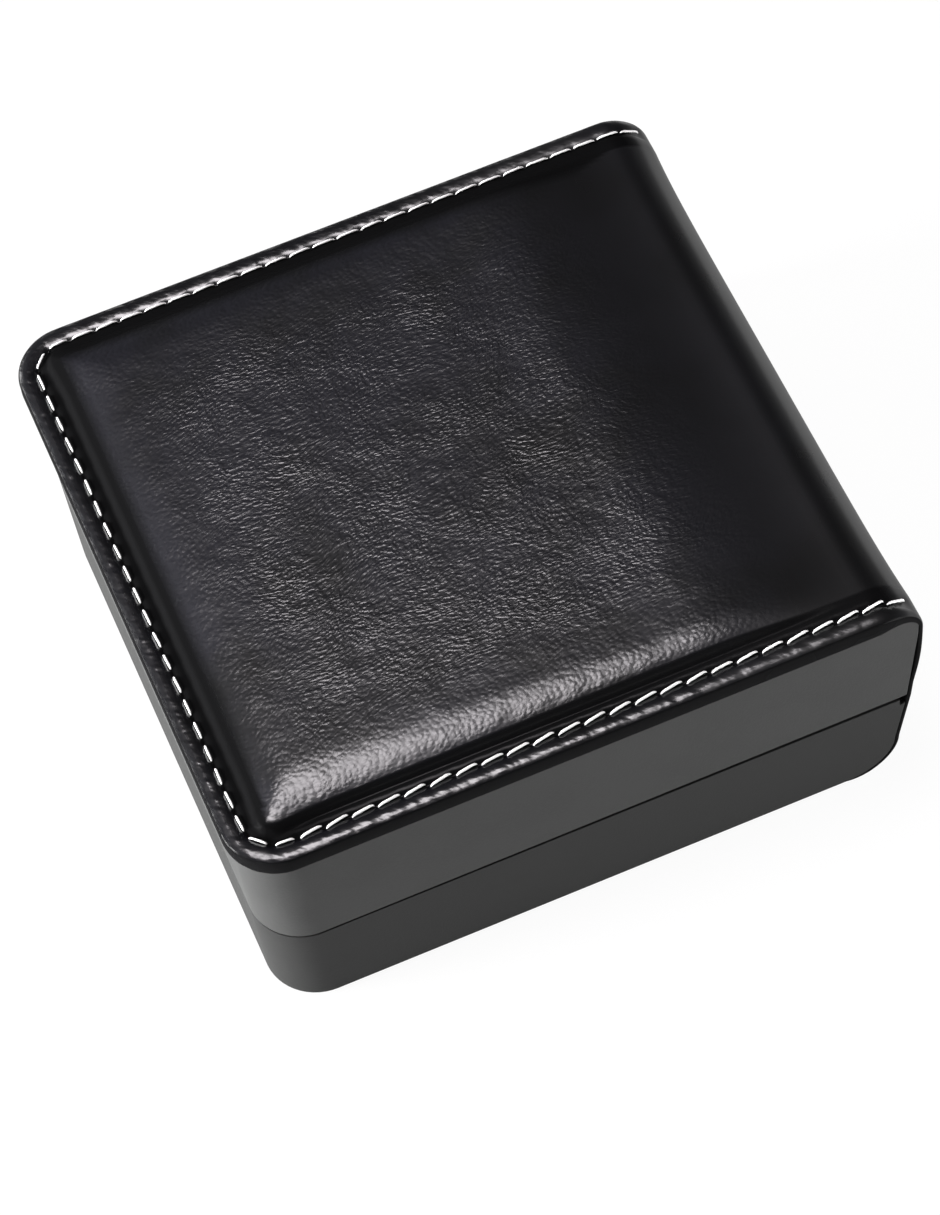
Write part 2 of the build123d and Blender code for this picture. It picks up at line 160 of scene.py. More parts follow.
class FinishTree:
    """Node tree of a material or of the world, with one method that makes any node."""

    def __init__(self, name: str, owner: bpy.types.ID | None = None) -> None:
        """Start an empty node tree for a new material, or for an owner that is already there."""
        self.material = owner or bpy.data.materials.new(name)
        self.material.use_nodes = True
        self.nodes = self.material.node_tree.nodes
        self.links = self.material.node_tree.links
        self.nodes.clear()

    def node(self, kind: str, settings: dict, inputs: dict, output: object = 0) -> Socket:
        """Make a node.

        Args:
            kind: The node's type name.
            settings: Properties set before the inputs; "stops" fills a colour ramp.
            inputs: Socket name or index to a number, colour, vector or Socket.
            output: Name or index of the output that is returned.

        Returns:
            The wrapped output.
        """
        made = self.nodes.new(kind)
        for key, value in settings.items():
            if key == "stops":
                self._fill_ramp(made.color_ramp, value)
            else:
                setattr(made, key, value)
        for key, value in inputs.items():
            if isinstance(value, Socket):
                self.links.new(value.output, made.inputs[key])
            elif value is not None:
                made.inputs[key].default_value = value
        return Socket(self, made.outputs[output] if made.outputs else None)

    @staticmethod
    def _fill_ramp(ramp: bpy.types.ColorRamp, stops: Sequence[tuple[float, float]]) -> None:
        """Give a ramp its grey stops as (position, value)."""
        while len(ramp.elements) < len(stops):
            ramp.elements.new(0.5)
        for element, (place, value) in zip(ramp.elements, stops):
            element.position = place
            element.color = (value, value, value, 1)

    def place(self) -> Socket:
        """Object coordinates in millimetres."""
        coordinate = self.node("ShaderNodeTexCoord", {}, {}, "Object")
        return self.vector("SCALE", coordinate, scale=1 / MM)

    def vector(self, operation: str, first: object, second: object = None, scale: float = 1.0) -> Socket:
        """Vector Math; a scale operation uses its own number."""
        inputs = {0: first, "Scale": scale} if operation == "SCALE" else {0: first, 1: second}
        return self.node("ShaderNodeVectorMath", {"operation": operation}, inputs)

    def turned(self, place: Socket, degrees: float, stretch: Point) -> Socket:
        """Coordinates turned about Z, then stretched along each axis."""
        inputs = {"Vector": place, "Rotation": (0, 0, math.radians(degrees))}
        turned = self.node("ShaderNodeMapping", {"vector_type": "POINT"}, inputs)
        return self.vector("MULTIPLY", turned, stretch)

    def noise(
        self, place: Socket, scale: float, detail: float, rough: float = 0.5, output: str = "Fac"
    ) -> Socket:
        """Noise of a given number of features per millimetre."""
        inputs = {"Vector": place, "Scale": scale, "Detail": detail, "Roughness": rough}
        return self.node("ShaderNodeTexNoise", {}, inputs, output)

    def smooth(
        self, value: Socket, low: float, high: float, at_low: float = 0.0, at_high: float = 1.0
    ) -> Socket:
        """Smooth step of a value from one number to another."""
        inputs = {"Value": value, "From Min": low, "From Max": high, "To Min": at_low, "To Max": at_high}
        return self.node("ShaderNodeMapRange", {"interpolation_type": "SMOOTHSTEP"}, inputs)

    def mix(self, factor: object, first: object, second: object) -> Socket:
        """Mix of two colours."""
        inputs = {0: factor, 6: self._rgba(first), 7: self._rgba(second)}
        return self.node("ShaderNodeMix", {"data_type": "RGBA"}, inputs, 2)

    def attribute(self, name: str) -> Socket:
        """A number painted on the piece's points."""
        return self.node("ShaderNodeAttribute", {"attribute_name": name}, {}, "Fac")

    def bump(self, height: Socket, depth: float) -> Socket:
        """Bump whose full height is a depth in millimetres."""
        inputs = {"Height": height, "Distance": depth * MM, "Strength": 1.0}
        return self.node("ShaderNodeBump", {}, inputs, "Normal")

    def principled(self, **sockets: object) -> Socket:
        """Principled shader from socket values; underscores stand for spaces."""
        inputs = {key.replace("_", " "): self._rgba(value) for key, value in sockets.items()}
        return self.node("ShaderNodeBsdfPrincipled", {}, inputs)

    @staticmethod
    def _rgba(value: object) -> object:
        """A colour triple gets its alpha."""
        return (*value, 1.0) if isinstance(value, tuple) and len(value) == 3 else value

    def finish(self, shader: Socket) -> bpy.types.Material:
        """Join the shader to the output and return the material."""
        owner = "World" if isinstance(self.material, bpy.types.World) else "Material"
        self.node("ShaderNodeOutput" + owner, {}, {"Surface": shader})
        return self.material


# Finishes


@dataclass(frozen=True)
class BlackLeather:
    """Black leather with short wrinkles and pebbles that go flat where it is stretched.

    Bump heights are shares of grain_depth; each "per_mm" is the number of features in a millimetre.
    """

    dark: Colour = (0.003, 0.003, 0.0034)
    cloudy: Colour = (0.006, 0.006, 0.009)
    # shaded and shaded_roughness make the near-black shader without gloss that paints shade where edge is set
    shaded: Colour = (0.004, 0.004, 0.0042)
    shaded_roughness: float = 0.7
    specular: float = 0.75
    smooth_roughness: float = 0.19
    grain_roughness: float = 0.32
    rear_roughness: float = 0.09
    pucker_roughness: float = 0.06
    cloud_roughness: float = 0.08
    rear_from: float = 5.0
    rear_to: float = 35.0
    grain_depth: float = 0.066
    wrinkle_width: float = 0.48
    wrinkle_length: float = 0.92
    wrinkle_turns: tuple[float, float] = (-4.0, -20.0)
    wrinkle_drift: float = 5.0
    pebble_size: float = 0.75
    pebble_share: float = 0.7
    least_pebbles: float = 0.12
    least_patch: float = 0.68
    swell: float = 2.2
    pucker: float = 2.1
    pucker_size: float = 1.0
    pucker_turn: float = 35.0
    drift_per_mm: float = 0.07
    choice_per_mm: float = 0.06
    patch_per_mm: float = 0.1
    swell_per_mm: float = 0.2
    cloud_per_mm: float = 0.035

    def make(self) -> bpy.types.Material:
        """Build the node tree."""
        tree = FinishTree("black_leather")
        place = tree.place()
        grain, pebbly, puckered = (tree.attribute(name) for name in ("grain", "pebble", "pucker"))
        wrinkles, pebbles = self._wrinkles(tree, place), self._pebbles(tree, place)
        patch = tree.smooth(tree.noise(place, self.patch_per_mm, 2.0), 0.3, 0.6, self.least_patch, 1.0)
        share = pebbly * self.pebble_share + self.least_pebbles
        fine = (wrinkles * (1 - share) + pebbles * share) * grain * patch
        swell = tree.noise(place, self.swell_per_mm, 1.0) * grain * self.swell
        across = tree.turned(place, self.pucker_turn, (1.0, 0.5, 1.0))
        pucker = tree.noise(across, 1 / self.pucker_size, 1.0) * puckered * self.pucker
        cloud = tree.noise(place, self.cloud_per_mm, 3.0, 0.6)
        depth = tree.node("ShaderNodeSeparateXYZ", {}, {"Vector": place}, "Y")
        rear = tree.smooth(depth, self.rear_from, self.rear_to)
        grained = self.smooth_roughness + grain * (self.grain_roughness - self.smooth_roughness)
        cloudy = tree.smooth(cloud, 0.3, 0.6) * (grain * 0.7 + 0.3)
        leather = tree.principled(
            Base_Color=tree.mix(cloudy, self.dark, self.cloudy),
            Roughness=grained + rear * (1 - grain) * self.rear_roughness
            + puckered * self.pucker_roughness + (cloud - 0.5) * self.cloud_roughness,
            Specular_IOR_Level=self.specular,
            Normal=tree.bump(fine + swell + pucker, self.grain_depth),
        )
        # Painted shade: this near-black shader without gloss is mixed in where the edge attribute is painted,
        # on the rim's side, in the crease and over the spine roll
        shaded = tree.principled(
            Base_Color=self.shaded, Roughness=self.shaded_roughness, Specular_IOR_Level=0.0
        )
        inputs = {0: tree.attribute("edge"), 1: leather, 2: shaded}
        return tree.finish(tree.node("ShaderNodeMixShader", {}, inputs))

    def _wrinkles(self, tree: FinishTree, place: Socket) -> Socket:
        """Short raised wrinkles that run towards the spine in two slightly different directions."""
        flow = tree.noise(place, self.drift_per_mm, 1.0, output="Color")
        drift = tree.vector("SUBTRACT", flow, (0.5, 0.5, 0.5))
        bent = tree.vector("ADD", place, tree.vector("SCALE", drift, scale=self.wrinkle_drift))
        grid = (1 / self.wrinkle_width, 1 / self.wrinkle_length, 1 / self.wrinkle_width)
        along, across = (tree.noise(tree.turned(bent, turn, grid), 1.0, 1.0) for turn in self.wrinkle_turns)
        choice = tree.smooth(tree.noise(place, self.choice_per_mm, 1.0), 0.44, 0.56)
        return tree.smooth(across * choice + along * (1 - choice), 0.3, 0.7)

    def _pebbles(self, tree: FinishTree, place: Socket) -> Socket:
        """Domed pebbles."""
        inputs = {"Vector": place, "Scale": 1 / self.pebble_size, "Smoothness": 0.4}
        return 1 - tree.node("ShaderNodeTexVoronoi", {"feature": "SMOOTH_F1"}, inputs, "Distance")


@dataclass(frozen=True)
class PlainFinish:
    """One-colour finish with fine grain, tone clouds and roughness drift."""

    name: str
    dark: Colour
    light: Colour
    roughness: float
    grain_per_mm: float = 3.0
    grain_depth: float = 0.01
    specular: float = 0.5
    metallic: float = 0.0
    sheen: float = 0.0
    sheen_roughness: float = 0.4
    roughness_drift: float = 0.14
    brushed: bool = False

    def make(self) -> bpy.types.Material:
        """Build the node tree."""
        tree = FinishTree(self.name)
        place = tree.place()
        grain_place = tree.vector("MULTIPLY", place, (0.08, 1, 1)) if self.brushed else place
        grain = tree.noise(grain_place, self.grain_per_mm, 3.0, 0.6)
        cloud = tree.noise(place, 0.06, 3.0, 0.55)
        tone = tree.smooth(cloud * 0.7 + grain * 0.3, 0.36, 0.64)
        shader = tree.principled(
            Base_Color=tree.mix(tone, self.dark, self.light),
            Roughness=self.roughness + (grain - 0.5) * self.roughness_drift,
            Metallic=self.metallic,
            Specular_IOR_Level=self.specular,
            Sheen_Weight=self.sheen,
            Sheen_Roughness=self.sheen_roughness,
            Normal=tree.bump(grain, self.grain_depth),
        )
        return tree.finish(shader)


@dataclass(frozen=True)
class Leatherette:
    """Charcoal leatherette of low gloss with a fine pebble; below the parting its colour is darkened as
    painted shade on the base.
    """

    dark: Colour = (0.031, 0.0315, 0.031)
    light: Colour = (0.0365, 0.037, 0.0365)
    base_shade: float = 0.52
    roughness: float = 0.62
    pebble_size: float = 0.38
    pebble_depth: float = 0.012
    specular: float = 0.12
    roughness_drift: float = 0.16

    def make(self) -> bpy.types.Material:
        """Build the node tree."""
        tree = FinishTree("charcoal_leatherette")
        place = tree.place()
        height = tree.node("ShaderNodeSeparateXYZ", {}, {"Vector": place}, "Z")
        inputs = {"Vector": place, "Scale": 1 / self.pebble_size}
        pebbles = tree.node("ShaderNodeTexVoronoi", {}, inputs, "Distance")
        cloud = tree.noise(place, 0.09, 3.0, 0.6)
        tone = tree.smooth(cloud * 0.8 + pebbles * 0.2, 0.3, 0.62)
        lid = tree.mix(tone, self.dark, self.light)
        # Painted shade: below the parting the colours are darkened, for the shade that falls on the base
        base = tree.mix(tone, *(tuple(c * self.base_shade for c in tint) for tint in (self.dark, self.light)))
        below = 1 - tree.smooth(height, SIZES.parting - 0.1, SIZES.parting + 0.1)
        shader = tree.principled(
            Base_Color=tree.mix(below, lid, base),
            Roughness=self.roughness + (cloud - 0.5) * self.roughness_drift,
            Specular_IOR_Level=self.specular,
            Normal=tree.bump(1 - pebbles, self.pebble_depth),
        )
        return tree.finish(shader)


PLAIN_FINISHES = (
    PlainFinish("shell_plastic", (0.026, 0.026, 0.027), (0.034, 0.034, 0.035), 0.5, 1.6, 0.012, 0.4),
    PlainFinish(
        "black_velvet", (0.006, 0.006, 0.007), (0.013, 0.013, 0.0145), 0.95, 5.0, 0.05, 0.05, sheen=0.22
    ),
    PlainFinish(
        "black_flock", (0.009, 0.009, 0.0095), (0.016, 0.016, 0.017), 0.9, 6.0, 0.04, 0.1, sheen=0.14
    ),
    PlainFinish("foam", (0.2, 0.2, 0.21), (0.34, 0.34, 0.35), 0.95, 1.4, 0.3, 0.1),
    PlainFinish("fibre_board", (0.26, 0.18, 0.11), (0.42, 0.31, 0.2), 0.9, 1.2, 0.06, 0.2),
    PlainFinish("white_thread", (0.88, 0.88, 0.87), (0.96, 0.96, 0.955), 0.7, 4.0, 0.03, 0.3, sheen=0.2),
    PlainFinish(
        "hinge_steel", (0.5, 0.49, 0.46), (0.62, 0.61, 0.58), 0.32, 5.0, 0.004, 0.5, 1.0, brushed=True
    ),
    PlainFinish("satin", (0.008, 0.008, 0.009), (0.014, 0.014, 0.016), 0.4, 6.0, 0.008, 0.3, brushed=True),
)
FINISHES: dict[str, object] = {"black_leather": BlackLeather(), "charcoal_leatherette": Leatherette()}
FINISHES.update((finish.name, finish) for finish in PLAIN_FINISHES)


class Finishes:
    """Materials by slot name, each made once."""

    def __init__(self) -> None:
        """Start with no material made."""
        self._made: dict[str, bpy.types.Material] = {}

    def get(self, slot: str) -> bpy.types.Material:
        """The material of a slot of the record."""
        if slot not in self._made:
            self._made[slot] = FINISHES[slot].make()
        return self._made[slot]

    def dress(self, piece: bpy.types.Object, slot: str) -> bpy.types.Object:
        """Give a piece the material of a slot."""
        piece.data.materials.clear()
        piece.data.materials.append(self.get(slot))
        return piece


# Mesh helpers


def ramp(value: np.ndarray, start: float, run: float) -> np.ndarray:
    """0 up to a start, 1 from a run past it, and straight in between."""
    return np.clip((value - start) / run, 0, 1)


def bell(value: np.ndarray, centre: float, width: float, power: int = 2) -> np.ndarray:
    """1 at a centre, falling off over a width; a higher power gives a flatter top."""
    return np.exp(-(((value - centre) / width) ** power))


def deselect_all() -> None:
    """Leave edit mode and select nothing."""
    if bpy.context.object and bpy.context.object.mode != "OBJECT":
        bpy.ops.object.mode_set(mode="OBJECT")
    bpy.ops.object.select_all(action="DESELECT")


def activate(piece: bpy.types.Object) -> None:
    """Select one piece alone."""
    deselect_all()
    piece.select_set(True)
    bpy.context.view_layer.objects.active = piece


@contextmanager
def editing(piece: bpy.types.Object, wanted: Callable[[Vector], bool] | None = None) -> Iterator[None]:
    """Edit mode with every point selected, or those that pass a test on their place in millimetres."""
    activate(piece)
    bpy.ops.object.mode_set(mode="EDIT")
    bpy.ops.mesh.select_mode(type="VERT")
    bpy.ops.mesh.select_all(action="DESELECT" if wanted else "SELECT")
    if wanted:
        bpy.ops.object.mode_set(mode="OBJECT")
        for point in piece.data.vertices:
            point.select = wanted(point.co / MM)
        bpy.ops.object.mode_set(mode="EDIT")
    yield
    bpy.ops.object.mode_set(mode="OBJECT")


def linked(name: str, data: bpy.types.ID) -> bpy.types.Object:
    """A new object in the scene."""
    made = bpy.data.objects.new(name, data)
    bpy.context.scene.collection.objects.link(made)
    return made


def mesh_piece(name: str, points: Iterable[Point], faces: Iterable[Sequence[int]]) -> bpy.types.Object:
    """A new mesh object from points in millimetres."""
    mesh = bpy.data.meshes.new(name)
    mesh.from_pydata([tuple(c * MM for c in p) for p in points], [], list(faces))
    mesh.update()
    return linked(name, mesh)


def placed_copy(piece: bpy.types.Object, place: Matrix) -> bpy.types.Object:
    """Copy a piece with its own mesh, moved by a matrix."""
    copy = piece.copy()
    copy.data = piece.data.copy()
    copy.data.transform(place)
    bpy.context.scene.collection.objects.link(copy)
    return copy


def joined(pieces: Sequence[bpy.types.Object], name: str) -> bpy.types.Object:
    """Join pieces into the first one under a name."""
    activate(pieces[0])
    for piece in pieces:
        piece.select_set(True)
    bpy.ops.object.join()
    pieces[0].name = name
    return pieces[0]


def smooth_by_angle(piece: bpy.types.Object, degrees: float) -> None:
    """Shade a piece smooth, with sharp edges past an angle."""
    activate(piece)
    bpy.ops.object.shade_smooth_by_angle(angle=math.radians(degrees))


def merged_copy(node: str, name: str) -> bpy.types.Object:
    """Copy a CAD node into a new piece at the origin with its points merged."""
    source = frame["nodes"][node]
    mesh = source.data.copy()
    mesh.transform(source.matrix_world)
    piece = linked(name, mesh)
    with editing(piece):
        bpy.ops.mesh.remove_doubles(threshold=MERGE * MM)
    return piece


def eased_copy(node: str, name: str, width: float, lift: float = 0.0) -> bpy.types.Object:
    """Copy a CAD node with merged points and slightly rounded edges, and let it stand for the node.

    Args:
        node: The CAD node.
        name: Name of the new piece.
        width: Width of the eased edges in millimetres.
        lift: How far the edge at the parting is moved up at its spine end, in millimetres.

    Returns:
        The new piece.
    """
    piece = merged_copy(node, name)
    with editing(piece):
        bpy.ops.mesh.dissolve_limited(angle_limit=math.radians(FLAT_ANGLE))
    if lift:
        with editing(piece, lambda p: abs(p.z - SIZES.parting) < PARTING_REACH and p.y > LIFTED_FROM):
            bpy.ops.transform.translate(value=(0, 0, lift * MM))
        activate(piece)
    bevel = piece.modifiers.new("ease", "BEVEL")
    bevel.width = width * MM
    bevel.segments = 2
    bevel.limit_method = "ANGLE"
    bevel.angle_limit = math.radians(SHARP_ANGLE)
    bevel.use_clamp_overlap = True
    bpy.ops.object.modifier_apply(modifier="ease")
    smooth_by_angle(piece, SHARP_ANGLE)
    weighted = piece.modifiers.new("even", "WEIGHTED_NORMAL")
    weighted.keep_sharp = True
    bpy.ops.object.modifier_apply(modifier="even")
    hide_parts(node)
    return piece


def paint(piece: bpy.types.Object, name: str, values: np.ndarray) -> None:
    """Write one number per point as an attribute that a finish reads."""
    layer = piece.data.attributes.new(name, "FLOAT", "POINT")
    layer.data.foreach_set("value", values.astype(np.float32))


# Leather cover


@dataclass
class StitchLine:
    """The stitch line round three sides of the rim, measured from the middle of the front edge."""

    inset: float = 3.3
    front_pitch: float = 4.37
    side_pitch: float = 4.18
    front_count: int = 10
    roll_angle: float = 48.0

    def __post_init__(self) -> None:
        """Work out the runs and where each stitch ends."""
        self.line_x = SIZES.half_width - self.inset
        self.turn = SIZES.corner - self.inset
        self.front_y = self.inset - SIZES.half_depth
        self.roll_y = SIZES.half_depth - SIZES.roll
        self.front_run = self.line_x - self.turn
        self.corner_run = self.turn * math.pi / 2
        self.side_run = self.roll_y - self.front_y - self.turn
        self.reach = self.front_run + self.corner_run + self.side_run
        self.reach += SIZES.roll * math.radians(self.roll_angle)
        holes = [self.front_pitch * (index + 0.5) for index in range(self.front_count + 1)]
        side_stitches = round((self.reach - holes[-1]) / self.side_pitch)
        step = (self.reach - holes[-1]) / side_stitches
        holes += [holes[-1] + step * (index + 1) for index in range(side_stitches)]
        self.holes = np.array([-hole for hole in reversed(holes)] + holes)

    def at(self, distance: float) -> tuple[Vector, Vector, Vector]:
        """Point, travel direction and outward normal on the line; travel runs from -X round to +X."""
        side = 1 if distance > 0 else -1
        left = abs(distance)
        if left < self.front_run:
            return Vector((side * left, self.front_y, SIZES.rim_top)), Vector((1, 0, 0)), Vector((0, 0, 1))
        left -= self.front_run
        if left < self.corner_run:
            turn = left / self.turn
            across = self.front_run + self.turn * math.sin(turn)
            along = self.front_y + self.turn * (1 - math.cos(turn))
            travel = Vector((math.cos(turn), side * math.sin(turn), 0))
            return Vector((side * across, along, SIZES.rim_top)), travel, Vector((0, 0, 1))
        left -= self.corner_run
        if left < self.side_run:
            point = Vector((side * self.line_x, self.front_y + self.turn + left, SIZES.rim_top))
            return point, Vector((0, side, 0)), Vector((0, 0, 1))
        tilt = (left - self.side_run) / SIZES.roll
        back = self.roll_y + SIZES.roll * math.sin(tilt)
        height = SIZES.rim_top + SIZES.roll * (math.cos(tilt) - 1)
        travel = Vector((0, side * math.cos(tilt), -side * math.sin(tilt)))
        return Vector((side * self.line_x, back, height)), travel, Vector((0, math.sin(tilt), math.cos(tilt)))

    def middles(self) -> list[float]:
        """Distance of each stitch's middle."""
        return list((self.holes[1:] + self.holes[:-1]) / 2)

    def to_hole(self, distance: np.ndarray) -> np.ndarray:
        """Distance from each place to its nearest hole."""
        after = np.clip(np.searchsorted(self.holes, distance), 1, len(self.holes) - 1)
        return np.minimum(np.abs(distance - self.holes[after]), np.abs(distance - self.holes[after - 1]))


@dataclass
class SkinGrid:
    """Grid of the leather's points: columns run across the box, rows from the opening edge down the spine."""

    columns: int
    rows: int
    flat_rows: int

    def __post_init__(self) -> None:
        """Start both skins, each point's inset from the rim's edge and its distance along the stitches."""
        self.outer = np.zeros((self.columns, self.rows, 3))
        self.inner = np.zeros((self.columns, self.rows, 3))
        self.inset = np.zeros((self.columns, self.rows))
        self.path = np.zeros((self.columns, self.rows))

    def side(self, i: int) -> float:
        """-1 for a column left of the middle, 1 for the others."""
        return -1.0 if i < self.columns // 2 else 1.0

    def station(self, i: int) -> int:
        """Count of a column from its own side edge."""
        return min(i, self.columns - 1 - i)

    def on_top(self) -> np.ndarray:
        """Mask of the rows of the flat top."""
        return np.arange(self.rows)[None, :] < self.flat_rows


@dataclass
class LeatherCover:
    """The one sheet of leather over pad, rim and spine, turned under the rim and under the base."""

    line: StitchLine
    flange: float = 3.0
    flange_middle: float = 2.3
    under_round: float = 1.7
    under_steps: int = 6
    top_down: float = 0.799
    top_round: float = 0.5
    top_steps: int = 5
    top_turn: float = 17.5
    top_ease: tuple[tuple[float, float], ...] = ((0.8, 0.176), (1.3, 0.079), (1.9, 0.026), (2.9, 0.0))
    flap: tuple[float, ...] = (3.1, 3.3, 3.5, 3.75, 4.1, 4.6, 5.0, 5.25, 5.5, 5.75, 6.0, 6.25, 6.6, 7.1)
    band: float = 4.5
    blend_inset: float = 20.0
    least_corner: float = 2.6
    step: float = 0.75
    last_step: float = 0.3
    foot_start: float = 5.2
    foot_end: float = 6.3
    foot_rise: float = 1.4
    shoulder_end: float = 14.2
    shoulder_taper: float = 3.2
    taper_from: float = -45.0
    taper_run: float = 60.0
    shoulder_slope: float = 0.38
    corner_reach: float = 0.9
    reach_size: float = 11.0
    mitre: float = 0.6
    mitre_from: float = 3.6
    mitre_run: float = 1.4
    dome: float = 0.4
    dome_run: float = 40.0
    dome_power: float = 0.8
    rear_run: float = 26.0
    groove_depth: float = 0.34
    groove_width: float = 0.5
    hole_depth: float = 0.35
    hole_across: float = 0.45
    hole_along: float = 0.5
    pucker: float = 0.1
    pucker_inset: float = 1.1
    pucker_width: float = 0.8
    ripples: tuple[tuple[float, float], ...] = ((1.1, 0.35), (2.1, 0.3), (3.3, 0.3))
    ripple_drift: float = 1.4
    drift_pace: float = 0.37
    ripple_lean: float = 1.3
    end_margin: float = 1.5
    end_fade: float = 3.0
    roll_steps: int = 18
    spine_steps: tuple[int, int] = (25, 15)
    under_roll_steps: int = 15
    tuck: float = 0.05
    inner_edge: float = 0.42
    inner_step: float = 0.07
    inner_rise: float = 0.002
    spine_hollow: float = 0.6
    hollow_reach: float = 47.0
    hollow_run: float = 10.0
    rear_from: float = 40.0
    rear_fade: float = 12.0
    spine_bow: float = 0.35
    skive: float = 0.6
    skive_run: float = 5.0
    skive_below: float = 4.0
    seed: int = 11

    def __post_init__(self) -> None:
        """Work out the stations from the rim's underside inwards and the rows towards the spine."""
        rim = self._rim_profile()
        self.rim_count = len(rim)
        self.side_count = self.rim_count - len(self.top_ease) - self.top_steps + 2
        insets = [inset for inset, _ in rim] + list(self.flap)
        while insets[-1] + self.step < SIZES.half_width - self.last_step:
            insets.append(insets[-1] + self.step)
        insets[-1] = SIZES.half_width
        rows = list(insets)
        rear = 2 * SIZES.half_depth - SIZES.roll
        while rows[-1] + self.step < rear:
            rows.append(rows[-1] + self.step)
        rows[-1] = rear
        self.insets, self.row_insets = np.array(insets), np.array(rows)
        self.depths = np.array([depth for _, depth in rim] + [0.0] * (len(insets) - len(rim)))
        runs = np.hypot(np.diff(self.insets), np.diff(self.depths))
        self.lengths = np.concatenate([[0.0], np.cumsum(runs)])
        past_middle = self.lengths[-1] + self.row_insets[len(insets):] - self.insets[-1]
        self.row_lengths = np.concatenate([self.lengths, past_middle])
        self.border = int(np.searchsorted(self.insets, self.blend_inset))
        self.inward = self._inward()

    def _rim_profile(self) -> list[tuple[float, float]]:
        """Inset and depth below the rim's top, from under the rim round its edge to the flat flap."""
        low = self.band - self.under_round
        stations = [(self.flange, self.band), (self.flange_middle, self.band)]
        for index in range(self.under_steps):
            turn = math.radians(90 / (self.under_steps - 1) * index)
            inset = self.under_round * (1 - math.sin(turn))
            stations.append((inset, low + self.under_round * math.cos(turn)))
        for index in range(self.top_steps):
            turn = math.radians(self.top_turn * index)
            inset = self.top_round * (1 - math.cos(turn))
            stations.append((inset, self.top_down - self.top_round * math.sin(turn)))
        return stations + list(self.top_ease)

    def _inward(self) -> np.ndarray:
        """Inward direction (towards larger inset, towards larger depth) at each station."""
        profile = np.column_stack([self.insets, self.depths])
        normals = np.zeros(profile.shape)
        normals[:, 1] = 1.0
        for k in range(self.rim_count):
            step = profile[k + 1] - profile[max(k - 1, 0)]
            step /= np.linalg.norm(step)
            normals[k] = (-step[1], step[0])
        return normals

    def _edge_profile(self, count: int) -> list[tuple[float, float]]:
        """The spine strip's rounded edge with as many stations as the rim's profile."""
        half = SIZES.leather / 2
        turns = [math.pi * index / (count - 1) for index in range(count)]
        return [(half * (1 - math.sin(turn)), half * (1 + math.cos(turn))) for turn in turns]

    def pad_inset(self, inset: np.ndarray, y: np.ndarray, x: np.ndarray) -> np.ndarray:
        """Inset as the pad sees it: mitred at the front corners, where it comes nearer to the stitches."""
        from_side, from_front = SIZES.half_width - np.abs(x), y + SIZES.half_depth
        square = np.minimum(from_side, from_front)
        reach = self.corner_reach * bell(np.hypot(from_side, from_front), 0, self.reach_size, 4)
        mitre = self.mitre * (np.maximum(square, inset) - inset)
        return inset + (mitre + reach) * ramp(inset, self.mitre_from, self.mitre_run)

    def crown(self, inset: np.ndarray, y: np.ndarray, x: np.ndarray) -> np.ndarray:
        """Height of the pad over the rim's top: a steep foot, a round shoulder, a slightly domed middle."""
        inset = self.pad_inset(inset, y, x)
        foot = ramp(inset, self.foot_start, self.foot_end - self.foot_start)
        taper = self.shoulder_taper * ramp(y, self.taper_from, self.taper_run)
        run = self.shoulder_end - self.foot_end - taper
        along = np.clip(inset - self.foot_end, 0, run)
        shoulder = self.shoulder_slope * (along - along * along / (2 * run))
        dome = self.dome * ramp(inset, self.foot_end, self.dome_run) ** self.dome_power
        back = np.clip((SIZES.half_depth - SIZES.roll - y) / self.rear_run, 0, 1)
        fade = (1 - np.cos(math.pi * back)) / 2
        return (self.foot_rise * foot * foot * (3 - 2 * foot) + shoulder + dome) * fade

    def _spine(self) -> np.ndarray:
        """Rear profile below the flat top as rows of y, z, outward y, outward z."""
        rows = []
        roll_y, roll_z = SIZES.half_depth - SIZES.roll, SIZES.rim_top - SIZES.roll
        for index in range(1, self.roll_steps + 1):
            turn = math.radians(90 / self.roll_steps * index)
            normal = (math.sin(turn), math.cos(turn))
            rows.append((roll_y + SIZES.roll * normal[0], roll_z + SIZES.roll * normal[1], *normal))
        rows.append((SIZES.half_depth, SIZES.lean_top, 1.0, 0.0))
        top, parting = (SIZES.half_depth, SIZES.lean_top), (SIZES.spine_at_parting, SIZES.parting)
        bottom = (SIZES.spine_at_bottom, SIZES.bottom_roll)
        for (y0, z0), (y1, z1), count in (
            (top, parting, self.spine_steps[0]),
            (parting, bottom, self.spine_steps[1]),
        ):
            length = math.hypot(y1 - y0, z1 - z0)
            normal = ((z0 - z1) / length, (y1 - y0) / length)
            for index in range(1, count + 1):
                step = index / count
                rows.append((y0 + (y1 - y0) * step, z0 + (z1 - z0) * step, *normal))
        under_y = SIZES.spine_at_bottom - SIZES.bottom_roll
        for index in range(1, self.under_roll_steps + 1):
            turn = math.radians(90 / self.under_roll_steps * index)
            normal = (math.cos(turn), -math.sin(turn))
            y, z = under_y + SIZES.bottom_roll * normal[0], SIZES.bottom_roll * (1 + normal[1])
            rows.append((y, z, *normal))
        return np.array(rows)

    def build(self) -> bpy.types.Object:
        """Make the closed leather mesh: outer skin, turned edge and inner skin."""
        spine = self._spine()
        flat_rows = len(self.row_insets)
        grid = SkinGrid(2 * len(self.insets) - 1, flat_rows + len(spine), flat_rows)
        self._fill_top(grid)
        self._fill_spine(grid, spine)
        self._raise_pad(grid, spine)
        self._shape_spine(grid.outer)
        piece = self._join(grid)
        for name, values in LeatherPaint(self, grid).layers().items():
            paint(piece, name, np.concatenate([values.ravel(), values.ravel()]))
        return piece

